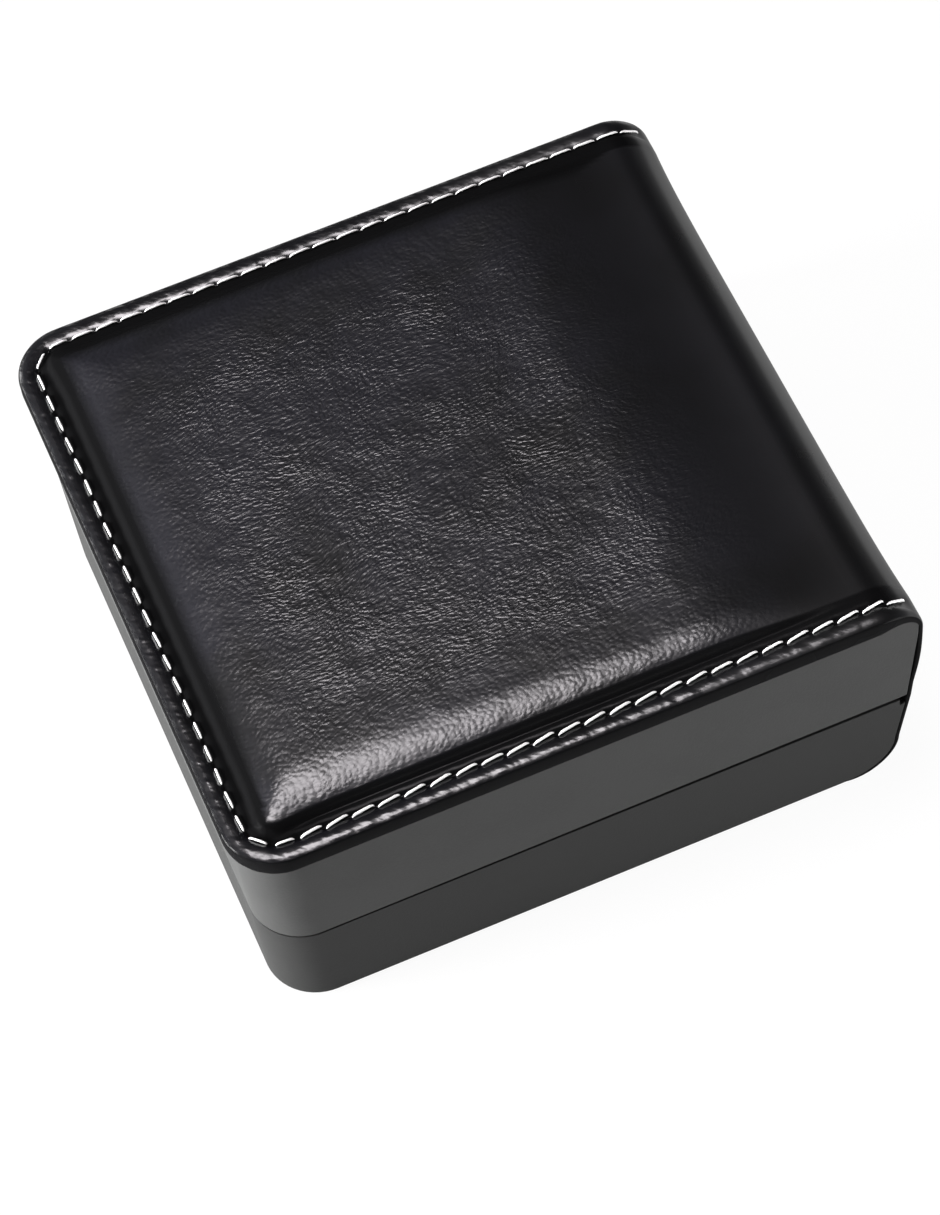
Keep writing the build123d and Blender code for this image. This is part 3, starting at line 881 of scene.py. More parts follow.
    def _fill_top(self, grid: SkinGrid) -> None:
        """Fill the rows of the flat top with the rim and its underside."""
        for i in range(grid.columns):
            for j in range(grid.flat_rows):
                ring = min(grid.station(i), j)
                x, y, out_x, out_y = self._top_point(grid, i, j)
                across, down = self.inward[ring]
                z = SIZES.rim_top - self.depths[ring]
                inner_x, inner_y = x - out_x * across * SIZES.leather, y - out_y * across * SIZES.leather
                grid.outer[i, j] = (x, y, z)
                grid.inner[i, j] = (inner_x, inner_y, z - down * SIZES.leather)
                grid.inset[i, j] = self.insets[ring] if ring >= self.side_count else -1.0
                grid.path[i, j] = self._along(x, y, grid.side(i))

    def _top_point(self, grid: SkinGrid, i: int, j: int) -> tuple[float, float, float, float]:
        """Place a grid point in plan: rings are round near the rim and square past the blend inset.

        Args:
            grid: The grid that is filled.
            i: Column.
            j: Row.

        Returns:
            The point's x and y, and the x and y of its outward direction.
        """
        side, station = grid.side(i), grid.station(i)
        ring, on_side = min(station, j), station <= j
        inset, last = self.insets[ring], self.insets[self.border]
        run = (self.row_lengths[j] if on_side else self.lengths[station]) - self.lengths[ring]
        limit = self.lengths[self.border] - self.lengths[ring]
        if ring >= self.border or run >= limit:
            x, y = side * (SIZES.half_width - self.insets[station]), self.row_insets[j] - SIZES.half_depth
            return (x, y, side, 0.0) if on_side else (x, y, 0.0, -1.0)
        radius = max(SIZES.corner - inset, self.least_corner)
        radius *= min(1.0, (last - inset) / self.least_corner)
        eighth = math.pi * radius / 4
        straight = last - inset - radius
        travel = (eighth + straight) * run / limit
        turn, rest = min(travel / radius, math.pi / 4), max(travel - eighth, 0.0)
        angle = math.pi / 4 + turn if on_side else math.pi / 4 - turn
        out_x, out_y = side * math.sin(angle), -math.cos(angle)
        from_middle = SIZES.half_width - inset - radius + radius * math.sin(angle)
        y = inset - SIZES.half_depth + radius - radius * math.cos(angle)
        if on_side:
            return side * from_middle, y + rest, out_x, out_y
        return side * (from_middle - rest), y, out_x, out_y

    def _along(self, x: float, y: float, side: float) -> float:
        """Distance along the stitch line of the nearest point on it, from the middle of the front."""
        line = self.line
        over_x = abs(x) - line.front_run
        over_y = line.front_y + line.turn - y
        if over_x <= 0 and over_y > 0:
            return x
        if over_x > 0 and over_y > 0:
            return side * (line.front_run + line.turn * math.atan2(over_x, over_y))
        return side * (line.front_run + line.corner_run - over_y)

    def _fill_spine(self, grid: SkinGrid, spine: np.ndarray) -> None:
        """Fill the rows over the roll and down the spine, where the rim thins to the sheet's own edge."""
        edge = np.array(self._edge_profile(self.rim_count + 1))
        line, arc = self.line, self.roll_steps
        for row, (y, z, normal_y, normal_z) in enumerate(spine):
            step = min((row + 1) / arc, 1.0)
            weight = step * step * (3 - 2 * step)
            wall = float(SIZES.wall_inset(np.array(min(z, SIZES.wall_top)))) - self.tuck
            width = SIZES.half_width - weight * max(wall, 0.0)
            turn = math.radians(90 / arc * min(row + 1, arc))
            run = SIZES.roll * turn + max(row - arc, 0)
            for i in range(grid.columns):
                side, k = grid.side(i), grid.station(i)
                inset, depth = self.insets[k], self.depths[k]
                inner_inset, inner_depth = np.array([inset, depth]) + self.inward[k] * SIZES.leather
                if k <= self.rim_count:
                    inset, depth = (1 - weight) * np.array([inset, depth]) + weight * edge[k]
                    inner_edge = self.inner_edge + self.inner_step * k
                    inner_inset = (1 - weight) * inner_inset + weight * inner_edge
                    inner_depth = (1 - weight) * inner_depth + weight * (SIZES.leather - self.inner_rise)
                    x_out, x_in = side * (width - inset), side * (width - inner_inset)
                else:
                    x_out = x_in = side * (SIZES.half_width - inset) * (width / SIZES.half_width)
                j = grid.flat_rows + row
                grid.outer[i, j] = (x_out, y - normal_y * depth, z - normal_z * depth)
                grid.inner[i, j] = (x_in, y - normal_y * inner_depth, z - normal_z * inner_depth)
                grid.inset[i, j] = self.insets[k] if k >= self.side_count else -1.0
                grid.path[i, j] = side * (line.front_run + line.corner_run + line.side_run + run)

    def _raise_pad(self, grid: SkinGrid, spine: np.ndarray) -> None:
        """Lift both skins by the pad's crown and draw them in along the stitches."""
        marked = grid.inset >= 0
        rise = self.crown(grid.inset, grid.outer[:, :, 1], grid.outer[:, :, 0]) * (marked & grid.on_top())
        rise += self._pulls(grid) * marked
        normal_y, normal_z = np.zeros(rise.shape), np.ones(rise.shape)
        normal_y[:, grid.flat_rows:] = spine[None, :, 2]
        normal_z[:, grid.flat_rows:] = spine[None, :, 3]
        for skin in (grid.outer, grid.inner):
            skin[:, :, 1] += rise * normal_y
            skin[:, :, 2] += rise * normal_z

    def _pulls(self, grid: SkinGrid) -> np.ndarray:
        """Groove of the stitch line, the dips at its holes and the puckers between them."""
        rng = np.random.default_rng(self.seed)
        line, path = self.line, grid.path
        fade = ramp(line.reach + self.end_margin - np.abs(path), 0, self.end_fade)
        away = grid.inset - line.inset
        groove = -self.groove_depth * bell(away, 0, self.groove_width)
        hole = -self.hole_depth * bell(away, 0, self.hole_across)
        hole *= bell(line.to_hole(path), 0, self.hole_along)
        wobble = np.zeros_like(path)
        for pace, weight in self.ripples:
            turn, shift = rng.uniform(0, 6.28, 2)
            drift = self.ripple_drift * np.sin(path * self.drift_pace + turn)
            wobble += weight * np.sin(path * pace + drift + shift + away * self.ripple_lean)
        outside = bell(grid.inset, self.pucker_inset, self.pucker_width)
        return (groove + hole + self.pucker * wobble * outside) * fade

    def _shape_spine(self, outer: np.ndarray) -> None:
        """Bow the outer skin between roll and parting, hollow it along its width and thin its lower end."""
        x, y, z = outer[:, :, 0], outer[:, :, 1], outer[:, :, 2]
        rear = ramp(y, self.rear_from, self.rear_fade)
        height = ramp(z, SIZES.fold_high, SIZES.lean_top - SIZES.fold_high)
        bow = self.spine_bow * np.sin(math.pi * height) * rear
        across = 1 - ramp(np.abs(x), 0, self.hollow_reach) ** 6
        tall = ramp(z, SIZES.fold_high, self.hollow_run)
        outer[:, :, 1] += bow - self.spine_hollow * across * rear * tall
        end = SIZES.spine_at_bottom - SIZES.bottom_roll
        under = (z < self.skive_below) & (y < SIZES.spine_at_bottom)
        outer[:, :, 2] += under * self.skive * np.clip(1 - (y - end) / self.skive_run, 0, 1) ** 2

    def _join(self, grid: SkinGrid) -> bpy.types.Object:
        """Close outer and inner skins along their four borders into one mesh."""
        columns, rows = grid.columns, grid.rows
        count = columns * rows
        points = np.concatenate([grid.outer.reshape(-1, 3), grid.inner.reshape(-1, 3)])
        number = np.arange(count).reshape(columns, rows)
        quads = np.stack([number[:-1, :-1], number[1:, :-1], number[1:, 1:], number[:-1, 1:]], axis=-1)
        quads = quads.reshape(-1, 4)
        skins = np.stack([quads, count + quads[:, ::-1]], axis=1).reshape(-1, 4)
        rim = np.concatenate([number[:, 0], number[-1, 1:], number[-2::-1, -1], number[0, -2:0:-1]])
        after = np.roll(rim, -1)
        sides = np.stack([after, rim, count + rim, count + after], axis=1)
        piece = mesh_piece("leather_cover", points, skins.tolist() + sides.tolist())
        activate(piece)
        bpy.ops.object.shade_smooth()
        return piece


@dataclass
class LeatherPaint:
    """How much grain, pebble, pucker and painted shade each point of the leather shows."""

    cover: LeatherCover
    grid: SkinGrid
    grain_from: float = 5.6
    grain_run: float = 1.8
    far_from: float = 40.0
    far_run: float = 10.0
    far_shift: float = 0.8
    spine_from: float = 21.0
    spine_run: float = 18.0
    bare_grain: float = 0.04
    pebble_from: float = 13.0
    pebble_run: float = 9.0
    pucker_inset: float = 1.0
    near_from: float = 45.0
    near_run: float = 5.0
    far_pucker: float = 1.5
    pucker_fade: float = 12.0
    # The amounts from here down paint shade: on the rim's side, in the crease by the pad's foot and over the
    # spine roll
    shade_depth: float = 0.3
    shade_run: float = 0.09
    rim_shade: float = 0.95
    crease_from: float = 2.95
    crease_run: float = 0.25
    crease_end: float = 6.6
    crease_soft: float = 0.4
    front_end: float = 2.8
    front_soft: float = 1.8
    tip_end: float = 1.6
    tip_size: float = 20.0
    crease_shade: float = 0.9
    front_shade: float = 0.1
    roll_from: float = 50.5
    roll_run: float = 3.0
    roll_shade: float = 0.55

    def __post_init__(self) -> None:
        """Keep each point's place and its inset."""
        self.x, self.y = self.grid.outer[:, :, 0], self.grid.outer[:, :, 1]
        self.inset = np.where(self.grid.inset < 0, 0, self.grid.inset)

    def _before_end(self, margin: float, run: float) -> np.ndarray:
        """Fade to 0 where the stitches end, or a margin past their end."""
        return ramp(self.cover.line.reach + margin - np.abs(self.grid.path), 0, run)

    def layers(self) -> dict[str, np.ndarray]:
        """The painted amounts by attribute name."""
        pebble = 1 - ramp(self.inset, self.pebble_from, self.pebble_run)
        # Painted shade: edge gives the rim's side, the crease and the spine roll the near-black shader
        # without gloss
        edge = np.maximum(self._shaded_rim() * self.rim_shade, self._shaded_crease())
        edge = np.maximum(edge, self.roll_shade * ramp(self.y, self.roll_from, self.roll_run))
        return {"grain": self._grain(), "pebble": pebble, "pucker": self._pucker(), "edge": edge}

    def _grain(self) -> np.ndarray:
        """Full on the pad's top; bare on the rim, on the far sides' slopes and towards the spine."""
        far = np.minimum(self.y + SIZES.half_depth, self.x + SIZES.half_width)
        far = far - self.far_shift * np.clip((self.far_from - self.x) / self.far_run, 0, 1)
        start = ramp(np.minimum(self.inset, far), self.grain_from, self.grain_run)
        fade = 1 - ramp(self.y, self.spine_from, self.spine_run)
        return np.clip(start * fade * self.grid.on_top() + self.bare_grain, 0, 1)

    def _pucker(self) -> np.ndarray:
        """On the strip outside the stitches, stronger on the two sides away from the near one."""
        near = ramp(self.x, self.near_from, self.near_run)
        pucker = bell(self.inset, self.pucker_inset, 1.0) * (self.grid.inset >= 0)
        return pucker * (self._before_end(-2, self.pucker_fade) * (near + self.far_pucker * (1 - near)))

    def _shaded_rim(self) -> np.ndarray:
        """Painted shade on the rim's side and underside, which lie in the dark."""
        edge, columns = np.zeros_like(self.inset), self.grid.columns
        for k in range(self.cover.rim_count):
            amount = float(ramp(self.cover.depths[k], self.shade_depth, self.shade_run))
            for i in (k, columns - 1 - k):
                edge[i, k:] = np.maximum(edge[i, k:], amount)
            edge[k:columns - k, k] = np.maximum(edge[k:columns - k, k], amount)
        return edge

    def _shaded_crease(self) -> np.ndarray:
        """Painted shade in the crease between stitches and pad, which runs further up the pad on the sides
        away from +X.
        """
        from_side, from_front = SIZES.half_width - self.x, self.y + SIZES.half_depth
        front = np.clip((from_side - from_front) / 4 + 0.5, 0, 1)
        tip = bell(np.hypot(from_side, from_front), 0, self.tip_size, 4)
        end = self.crease_end + (self.front_end - self.tip_end * tip) * front
        soft = self.crease_soft + self.front_soft * front * (1 - tip)
        past_end = (end - self.cover.pad_inset(self.inset, self.y, self.x)) / soft
        crease = ramp(self.inset, self.crease_from, self.crease_run) * np.clip(past_end, 0, 1)
        crease *= self._before_end(1, 5)
        return crease * (self.crease_shade + self.front_shade * np.maximum(front, tip))


@dataclass
class Stitching:
    """White stitches that dive into their holes, each turned a little across the line."""

    line: StitchLine
    length: float = 3.8
    radius: float = 0.205
    sides: int = 10
    rise: float = 0.1
    dive: float = 0.42
    tip: float = 0.05
    cuts: tuple[float, float] = (0.75, 0.35)
    drops: tuple[tuple[float, float], ...] = ((0.4, 0.3), (0.05, 0.7))
    tip_scale: float = 0.6
    shoulder_scale: float = 0.85
    tip_bevel: float = 0.13
    near_slant: float = 10.0
    far_slant: float = 1.5
    slant_spread: float = 2.5
    front_length: float = 0.8
    far_thickness: float = 0.85
    seed: int = 5

    def one(self) -> bpy.types.Object:
        """Model one stitch along +X: a short thread with rounded ends bent down into its holes."""
        deselect_all()
        bpy.ops.mesh.primitive_cylinder_add(
            vertices=self.sides, radius=self.radius * MM, depth=self.length * MM, rotation=(0, math.pi / 2, 0)
        )
        thread = bpy.context.object
        bpy.ops.object.transform_apply(location=False, rotation=True, scale=False)
        half = self.length / 2
        ends = [half - cut for cut in self.cuts]
        with editing(thread):
            for place in (-ends[0], -ends[1], 0.0, ends[1], ends[0]):
                bpy.ops.mesh.select_all(action="SELECT")
                bpy.ops.mesh.bisect(plane_co=(place * MM, 0, 0), plane_no=(1, 0, 0))
        for reach, drop in self.drops:
            with editing(thread, lambda p, reach=half - reach: abs(p.x) > reach):
                bpy.ops.transform.translate(value=(0, 0, -drop * self.dive * MM))
        for side in (-1, 1):
            with editing(thread, lambda p, side=side: side * p.x > half - self.tip):
                bpy.ops.transform.resize(value=(1, self.tip_scale, self.tip_scale))
            with editing(thread, lambda p, side=side: half - 0.5 < side * p.x < half - 0.2):
                bpy.ops.transform.resize(value=(1, self.shoulder_scale, self.shoulder_scale))
        with editing(thread, lambda p: abs(p.x) > half - self.tip):
            bpy.ops.mesh.bevel(offset=self.tip_bevel * MM, segments=2, affect="EDGES")
        return thread

    def build(self) -> bpy.types.Object:
        """Copy the stitch along the line and join the copies."""
        rng = np.random.default_rng(self.seed)
        thread = self.one()
        copies = []
        bend = self.line.front_run + self.line.corner_run
        for distance in self.line.middles():
            point, travel, normal = self.line.at(distance)
            slant = self.near_slant if distance > bend else self.far_slant
            length = self.front_length if abs(distance) < bend else 1.0
            thickness = 1.0 if distance > bend else self.far_thickness
            turn = math.radians(slant + rng.uniform(-self.slant_spread, self.slant_spread))
            along = (travel * math.cos(turn) + normal.cross(travel) * math.sin(turn)).normalized()
            across = normal.cross(along)
            axes = (along * rng.uniform(0.95, 1.02) * length, across * thickness, normal * thickness)
            turned = Matrix(axes).transposed().to_4x4()
            place = Matrix.Translation((point + normal * self.rise) * MM)
            copies.append(placed_copy(thread, place @ turned))
        bpy.data.objects.remove(thread)
        piece = joined(copies, "rim_stitching")
        smooth_by_angle(piece, 60)
        return piece


@dataclass
class CrownedBlock:
    """A block of stacked rounded outlines: each ring has its inset, its height and its corner."""

    name: str
    front: float
    back: float
    half_width: float
    corner: float
    least_corner: float = 0.8
    points_per_corner: int = 8
    points_per_side: int = 24

    def ring(self, inset: float) -> np.ndarray:
        """Plan points of the outline moved inwards."""
        x, front, back = self.half_width - inset, self.front + inset, self.back - inset
        radius = max(self.corner - inset, self.least_corner)

        def on_arc(corner: tuple[float, float, float], degrees: float) -> tuple[float, float]:
            """Point on a corner's arc."""
            corner_x, corner_y, _ = corner
            centre_x = corner_x - math.copysign(radius, corner_x)
            centre_y = corner_y + (radius if corner_y == front else -radius)
            turn = math.radians(degrees)
            return centre_x + radius * math.cos(turn), centre_y + radius * math.sin(turn)

        points = []
        corners = ((x, front, -90), (x, back, 0), (-x, back, 90), (-x, front, 180))
        for corner, following in zip(corners, corners[1:] + corners[:1]):
            for index in range(self.points_per_corner):
                points.append(on_arc(corner, corner[2] + 90 * index / self.points_per_corner))
            last, first = on_arc(corner, corner[2] + 90), on_arc(following, following[2])
            for index in range(self.points_per_side):
                step = index / self.points_per_side
                points.append((last[0] + (first[0] - last[0]) * step, last[1] + (first[1] - last[1]) * step))
        return np.array(points)

    def build(
        self, insets: Sequence[float], height: Callable[[float, np.ndarray], np.ndarray], low: float
    ) -> bpy.types.Object:
        """Stack the rings from the base up and close both ends.

        Args:
            insets: Inset of each ring from the side inwards.
            height: Height of a ring's points from its inset and plan points.
            low: Height of the flat base.

        Returns:
            The closed piece.
        """
        plans = [self.ring(inset) for inset in insets]
        rings = [np.column_stack([plans[0], np.full(len(plans[0]), low)])]
        rings += [np.column_stack([plan, height(inset, plan)]) for inset, plan in zip(insets, plans)]
        count = len(rings[0])
        faces = [tuple(reversed(range(count)))]
        for level in range(len(rings) - 1):
            for index in range(count):
                here, after = level * count + index, level * count + (index + 1) % count
                faces.append((here, after, after + count, here + count))
        last = (len(rings) - 1) * count
        faces.append(tuple(range(last, last + count)))
        piece = mesh_piece(self.name, np.concatenate(rings), faces)
        smooth_by_angle(piece, 50)
        return piece


# Pads and small hardware


@dataclass
class BlownPad:
    """A pad swollen by cloth simulation from a slightly smaller CAD solid.

    The simulation runs on a copy ten times as large, because Blender's cloth settings suit furniture.
    """

    node: str
    name: str
    voxel: float
    cap: float
    grow: float = 10.0
    pressure: float = 4.0
    frames: int = 20

    def build(self, sewn: Callable[[Vector], bool]) -> bpy.types.Object:
        """Remesh, swell, cap the moves and subdivide.

        Args:
            sewn: Test on a point's place in millimetres for points that are held.

        Returns:
            The swollen piece, back at its real size.
        """
        piece = merged_copy(self.node, self.name)
        piece.data.transform(Matrix.Scale(self.grow, 4))
        remesh = piece.modifiers.new("even", "REMESH")
        remesh.mode = "VOXEL"
        remesh.voxel_size = self.voxel * self.grow * MM
        bpy.ops.object.modifier_apply(modifier="even")
        self._swell(piece, sewn)
        piece.data.transform(Matrix.Scale(1 / self.grow, 4))
        finer = piece.modifiers.new("finer", "SUBSURF")
        finer.levels = finer.render_levels = 1
        bpy.ops.object.modifier_apply(modifier="finer")
        bpy.ops.object.shade_smooth()
        return piece

    def _swell(self, piece: bpy.types.Object, sewn: Callable[[Vector], bool]) -> None:
        """Run the cloth and keep each point within the cap."""
        mesh = piece.data
        start = self._points(mesh)
        held = [point.index for point in mesh.vertices if sewn(point.co / (self.grow * MM))]
        piece.vertex_groups.new(name="sewn").add(held, 1.0, "ADD")
        cloth = piece.modifiers.new("cloth", "CLOTH")
        cloth.settings.use_pressure = True
        cloth.settings.uniform_pressure_force = self.pressure
        cloth.settings.vertex_group_mass = "sewn"
        cloth.settings.effector_weights.gravity = 0
        for number in range(1, self.frames + 1):
            bpy.context.scene.frame_set(number)
        activate(piece)
        bpy.ops.object.modifier_apply(modifier="cloth")
        moved = self._points(piece.data) - start
        length = np.linalg.norm(moved, axis=1, keepdims=True)
        limit = self.cap * self.grow * MM
        kept = start + moved * np.minimum(1, limit / np.maximum(length, 1e-9))
        piece.data.vertices.foreach_set("co", kept.ravel())
        piece.vertex_groups.clear()
        bpy.context.scene.frame_set(1)
        log.info("%s: swelled by up to %.2f mm before the cap", self.name, length.max() / (self.grow * MM))

    @staticmethod
    def _points(mesh: bpy.types.Mesh) -> np.ndarray:
        """Points of a mesh as rows."""
        points = np.empty(len(mesh.vertices) * 3)
        mesh.vertices.foreach_get("co", points)
        return points.reshape(-1, 3)


@dataclass
class WatchPillow:
    """Velvet pillow in the tray's well, with its foam and a sewn seam round its girth."""

    finishes: Finishes
    seam_height: float = 17.6
    seam_depth: float = 0.5
    seam_width: float = 0.6
    seam_reach: float = 1.1
    pucker_depth: float = 0.13
    pucker_width: float = 2.6
    pucker_count: int = 58
    girth_stretch: float = 1.4
    rest_height: float = 4.83
    cover: float = 0.9

    def build(self) -> None:
        """Swell the cover, sew its seam and fill it with foam."""
        pad = BlownPad("watch_pillow_foam", "pillow_cover", voxel=2.0, cap=0.95)
        pillow = pad.build(lambda p: abs(p.z - self.seam_height) < self.seam_reach)
        self._sew(pillow)
        foam = placed_copy(pillow, Matrix.Identity(4))
        foam.name = "pillow_foam"
        self.finishes.dress(pillow, "black_velvet")
        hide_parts("watch_pillow_cover")
        with editing(foam):
            bpy.ops.transform.shrink_fatten(value=-self.cover * MM)
        self.finishes.dress(foam, "foam")
        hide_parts("watch_pillow_foam")
        for piece in (pillow, foam):
            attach(piece, Body.BASE.value)
        log.info("watch pillow: %d points", len(pillow.data.vertices))

    def _sew(self, pillow: bpy.types.Object) -> None:
        """Draw the girth in along the seam, pucker beside it and flatten the side that rests in the tray."""
        for point in pillow.data.vertices:
            place = point.co / MM
            out = Vector((point.normal.x, point.normal.y, 0))
            over = place.z - self.seam_height
            turn = math.atan2(place.y * self.girth_stretch, place.x)
            groove = self.seam_depth * math.exp(-((over / self.seam_width) ** 2))
            ripple = math.sin(turn * self.pucker_count + 2.0 * math.sin(turn * 7))
            pucker = self.pucker_depth * ripple * math.exp(-((over / self.pucker_width) ** 2))
            point.co += out * (pucker - groove) * MM
            point.co.z = max(point.co.z, self.rest_height * MM)


@dataclass
class HingeScrews:
    """Four pan-head screws in a row, with cross recesses that face into the box."""

    finishes: Finishes
    head_radius: float = 1.1
    head_height: float = 0.6
    head_sides: int = 28
    head_bevel: float = 0.25
    recess: Point = (1.25, 0.28, 0.64)
    shank_radius: float = 0.56
    shank_length: float = 2.3
    shank_sides: int = 16
    shank_overlap: float = 0.05
    thread_pitch: float = 0.24
    thread_steps: int = 8
    thread_root: float = 0.76
    head_face: float = 48.3
    base_row: float = 17.3
    lid_row: float = 23.5
    columns: tuple[float, ...] = (-37, -27, 27, 37)

    def _cylinder(self, sides: int, radius: float, height: float, middle: float) -> bpy.types.Object:
        """An upright cylinder round the origin's axis."""
        deselect_all()
        bpy.ops.mesh.primitive_cylinder_add(
            vertices=sides, radius=radius * MM, depth=height * MM, location=(0, 0, middle * MM)
        )
        bpy.ops.object.transform_apply(location=True, rotation=False, scale=False)
        return bpy.context.object

    def one(self) -> bpy.types.Object:
        """Model one screw with its head's face at the origin, facing +Z."""
        head = self._cylinder(self.head_sides, self.head_radius, self.head_height, -self.head_height / 2)
        with editing(head, lambda p: p.z > -0.1):
            bpy.ops.mesh.bevel(offset=self.head_bevel * MM, segments=3, affect="EDGES")
        for turned in (0, math.pi / 2):
            self._cut_slot(head, turned)
        return joined([head, self._shank()], "screw")

    def _cut_slot(self, head: bpy.types.Object, turned: float) -> None:
        """Cut one arm of the cross recess."""
        deselect_all()
        bpy.ops.mesh.primitive_cube_add(size=MM, rotation=(0, 0, turned), scale=self.recess)
        cutter = bpy.context.object
        bpy.ops.object.transform_apply(location=True, rotation=True, scale=True)
        activate(head)
        recess = head.modifiers.new("recess", "BOOLEAN")
        recess.operation = "DIFFERENCE"
        recess.object = cutter
        bpy.ops.object.modifier_apply(modifier="recess")
        bpy.data.objects.remove(cutter)

    def _shank(self) -> bpy.types.Object:
        """Threaded shank: rings drawn in between the crests and a narrower tip."""
        middle = -self.head_height - self.shank_length / 2 + self.shank_overlap
        shank = self._cylinder(self.shank_sides, self.shank_radius, self.shank_length, middle)
        top = middle + self.shank_length / 2
        heights = [top - self.thread_pitch * (index + 1) for index in range(self.thread_steps)]
        with editing(shank):
            for height in heights:
                bpy.ops.mesh.select_all(action="SELECT")
                bpy.ops.mesh.bisect(plane_co=(0, 0, height * MM), plane_no=(0, 0, 1))
        for height in heights[::2] + [middle - self.shank_length / 2]:
            with editing(shank, lambda p, height=height: abs(p.z - height) < 0.05):
                bpy.ops.transform.resize(value=(self.thread_root, self.thread_root, 1))
        return shank

    def build(self) -> None:
        """Copy the screw along both leaves' rows."""
        screw = self.one()
        for node, name, body, height in (
            ("hinge_base_screws", "base_screws_row", Body.BASE, self.base_row),
            ("hinge_lid_screws", "lid_screws_row", Body.LID, self.lid_row),
        ):
            copies = []
            for index, column in enumerate(self.columns):
                spin = Matrix.Rotation(0.7 * index + height, 4, "Z")
                turned = Matrix.Rotation(math.pi / 2, 4, "X") @ spin
                place = Matrix.Translation(Vector((column, self.head_face, height)) * MM)
                copies.append(placed_copy(screw, place @ turned))
            row = joined(copies, name)
            smooth_by_angle(row, 35)
            self.finishes.dress(row, "hinge_steel")
            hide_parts(node)
            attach(row, body.value)
            log.info("%s: %d screws", row.name, len(copies))
        bpy.data.objects.remove(screw)


# Assembly


@dataclass
class LidDressing:
    """Everything on the lid, and the leather that also goes down the spine."""

    finishes: Finishes
    line: StitchLine = field(default_factory=StitchLine)
    foam_inset: float = 5.4
    foam_corner: float = 5.0
    foam_back: float = 1.5
    foam_gap: float = 0.12
    foam_least: float = 0.02
    foam_rings: tuple[float, ...] = (0, 0.7, 1.5, 2.6, 4, 5.6, 7.5, 11, 16, 24, 34, 43)
    satin_held: float = 38.4

    def build(self) -> None:
        """Make the leather cover, its stitching, the foam under it and the satin pad inside."""
        shape = LeatherCover(self.line)
        cover = shape.build()
        self.finishes.dress(cover, "black_leather")
        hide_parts("lid_leather_cover", "base_back_leather", "spine_fold")
        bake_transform(cover)
        log.info("leather cover: %d points", len(cover.data.vertices))
        stitches = Stitching(self.line).build()
        self.finishes.dress(stitches, "white_thread")
        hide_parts("lid_stitching")
        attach(stitches, Body.LID.value)
        log.info("stitching: %d stitches", len(self.line.middles()))
        self._foam(shape)
        pad = BlownPad("lid_lining_pad", "satin_pad", voxel=1.5, cap=1.1)
        satin = pad.build(lambda p: p.z > self.satin_held)
        self.finishes.dress(satin, "satin")
        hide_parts("lid_lining_pad")
        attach(satin, Body.LID.value)
        log.info("satin pad: %d points", len(satin.data.vertices))

    def _foam(self, cover: LeatherCover) -> None:
        """Foam under the crown and under the rolled rear edge."""
        block = CrownedBlock(
            "crown_foam",
            front=self.foam_inset - SIZES.half_depth,
            back=SIZES.half_depth - SIZES.roll - self.foam_back,
            half_width=SIZES.half_width - self.foam_inset,
            corner=self.foam_corner,
        )
        low, skin = SIZES.rim_top - SIZES.leather, SIZES.leather + self.foam_gap

        def height(inset: float, plan: np.ndarray) -> np.ndarray:
            """Underside of the leather over a ring of plan points."""
            rise = cover.crown(np.full(len(plan), inset + self.foam_inset), plan[:, 1], plan[:, 0])
            return np.maximum(SIZES.rim_top - skin + rise, low + self.foam_least)

        foam = block.build(self.foam_rings, height, low)
        self.finishes.dress(foam, "foam")
        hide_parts("lid_foam_pad")
        roll = eased_copy("spine_roll_padding", "roll_foam", 0.3)
        self.finishes.dress(roll, "foam")
        for piece in (foam, roll):
            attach(piece, Body.LID.value)
        log.info("foam: crown and roll")


@dataclass
class RigidPieces:
    """CAD nodes that keep their shape, with or without eased edges."""

    finishes: Finishes
    wrap_ease: float = 0.22

    def build(self) -> None:
        """Ease the shells', linings' and wraps' edges and give each shown CAD node its material."""
        slots = {part["node"]: part["material_slot"] for part in frame["record"]["subparts"]}
        covered = {"lid_pad_board": "satin"}
        for node, name, body, width in (
            ("base_shell", "base_eased_shell", Body.BASE, 0.2),
            ("base_lining", "base_soft_lining", Body.BASE, 0.2),
            ("base_bottom_cover", "base_eased_bottom_cover", Body.BASE, 0.25),
            ("insert_tray", "insert_eased_tray", Body.BASE, 0.3),
            ("lid_shell", "lid_eased_shell", Body.LID, 0.2),
            ("lid_lining", "lid_soft_lining", Body.LID, 0.2),
            ("lid_pad_board", "lid_eased_pad_board", Body.LID, 0.15),
            ("lid_top_board", "lid_eased_top_board", Body.LID, 0.2),
        ):
            piece = eased_copy(node, name, width)
            self.finishes.dress(piece, covered.get(node, slots[node]))
            # Painted shade: edge at 1 gives the whole bottom cover the near-black shader without gloss
            if node == "base_bottom_cover":
                paint(piece, "edge", np.ones(len(piece.data.vertices)))
            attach(piece, body.value)
            log.info("%s: eased", piece.name)
        for node, name, body, lift in (
            ("lid_side_wrap", "lid_leatherette", Body.LID, 0.3),
            ("base_side_wrap", "base_leatherette", Body.BASE, -0.15),
        ):
            wrap = eased_copy(node, name, self.wrap_ease, lift=lift)
            self.finishes.dress(wrap, "charcoal_leatherette")
            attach(wrap, body.value)
        for name, node in frame["nodes"].items():
            if not node.hide_render:
                self.finishes.dress(node, slots[name])
                log.info("%s: %s", name, slots[name])


# Camera, lamps and stage


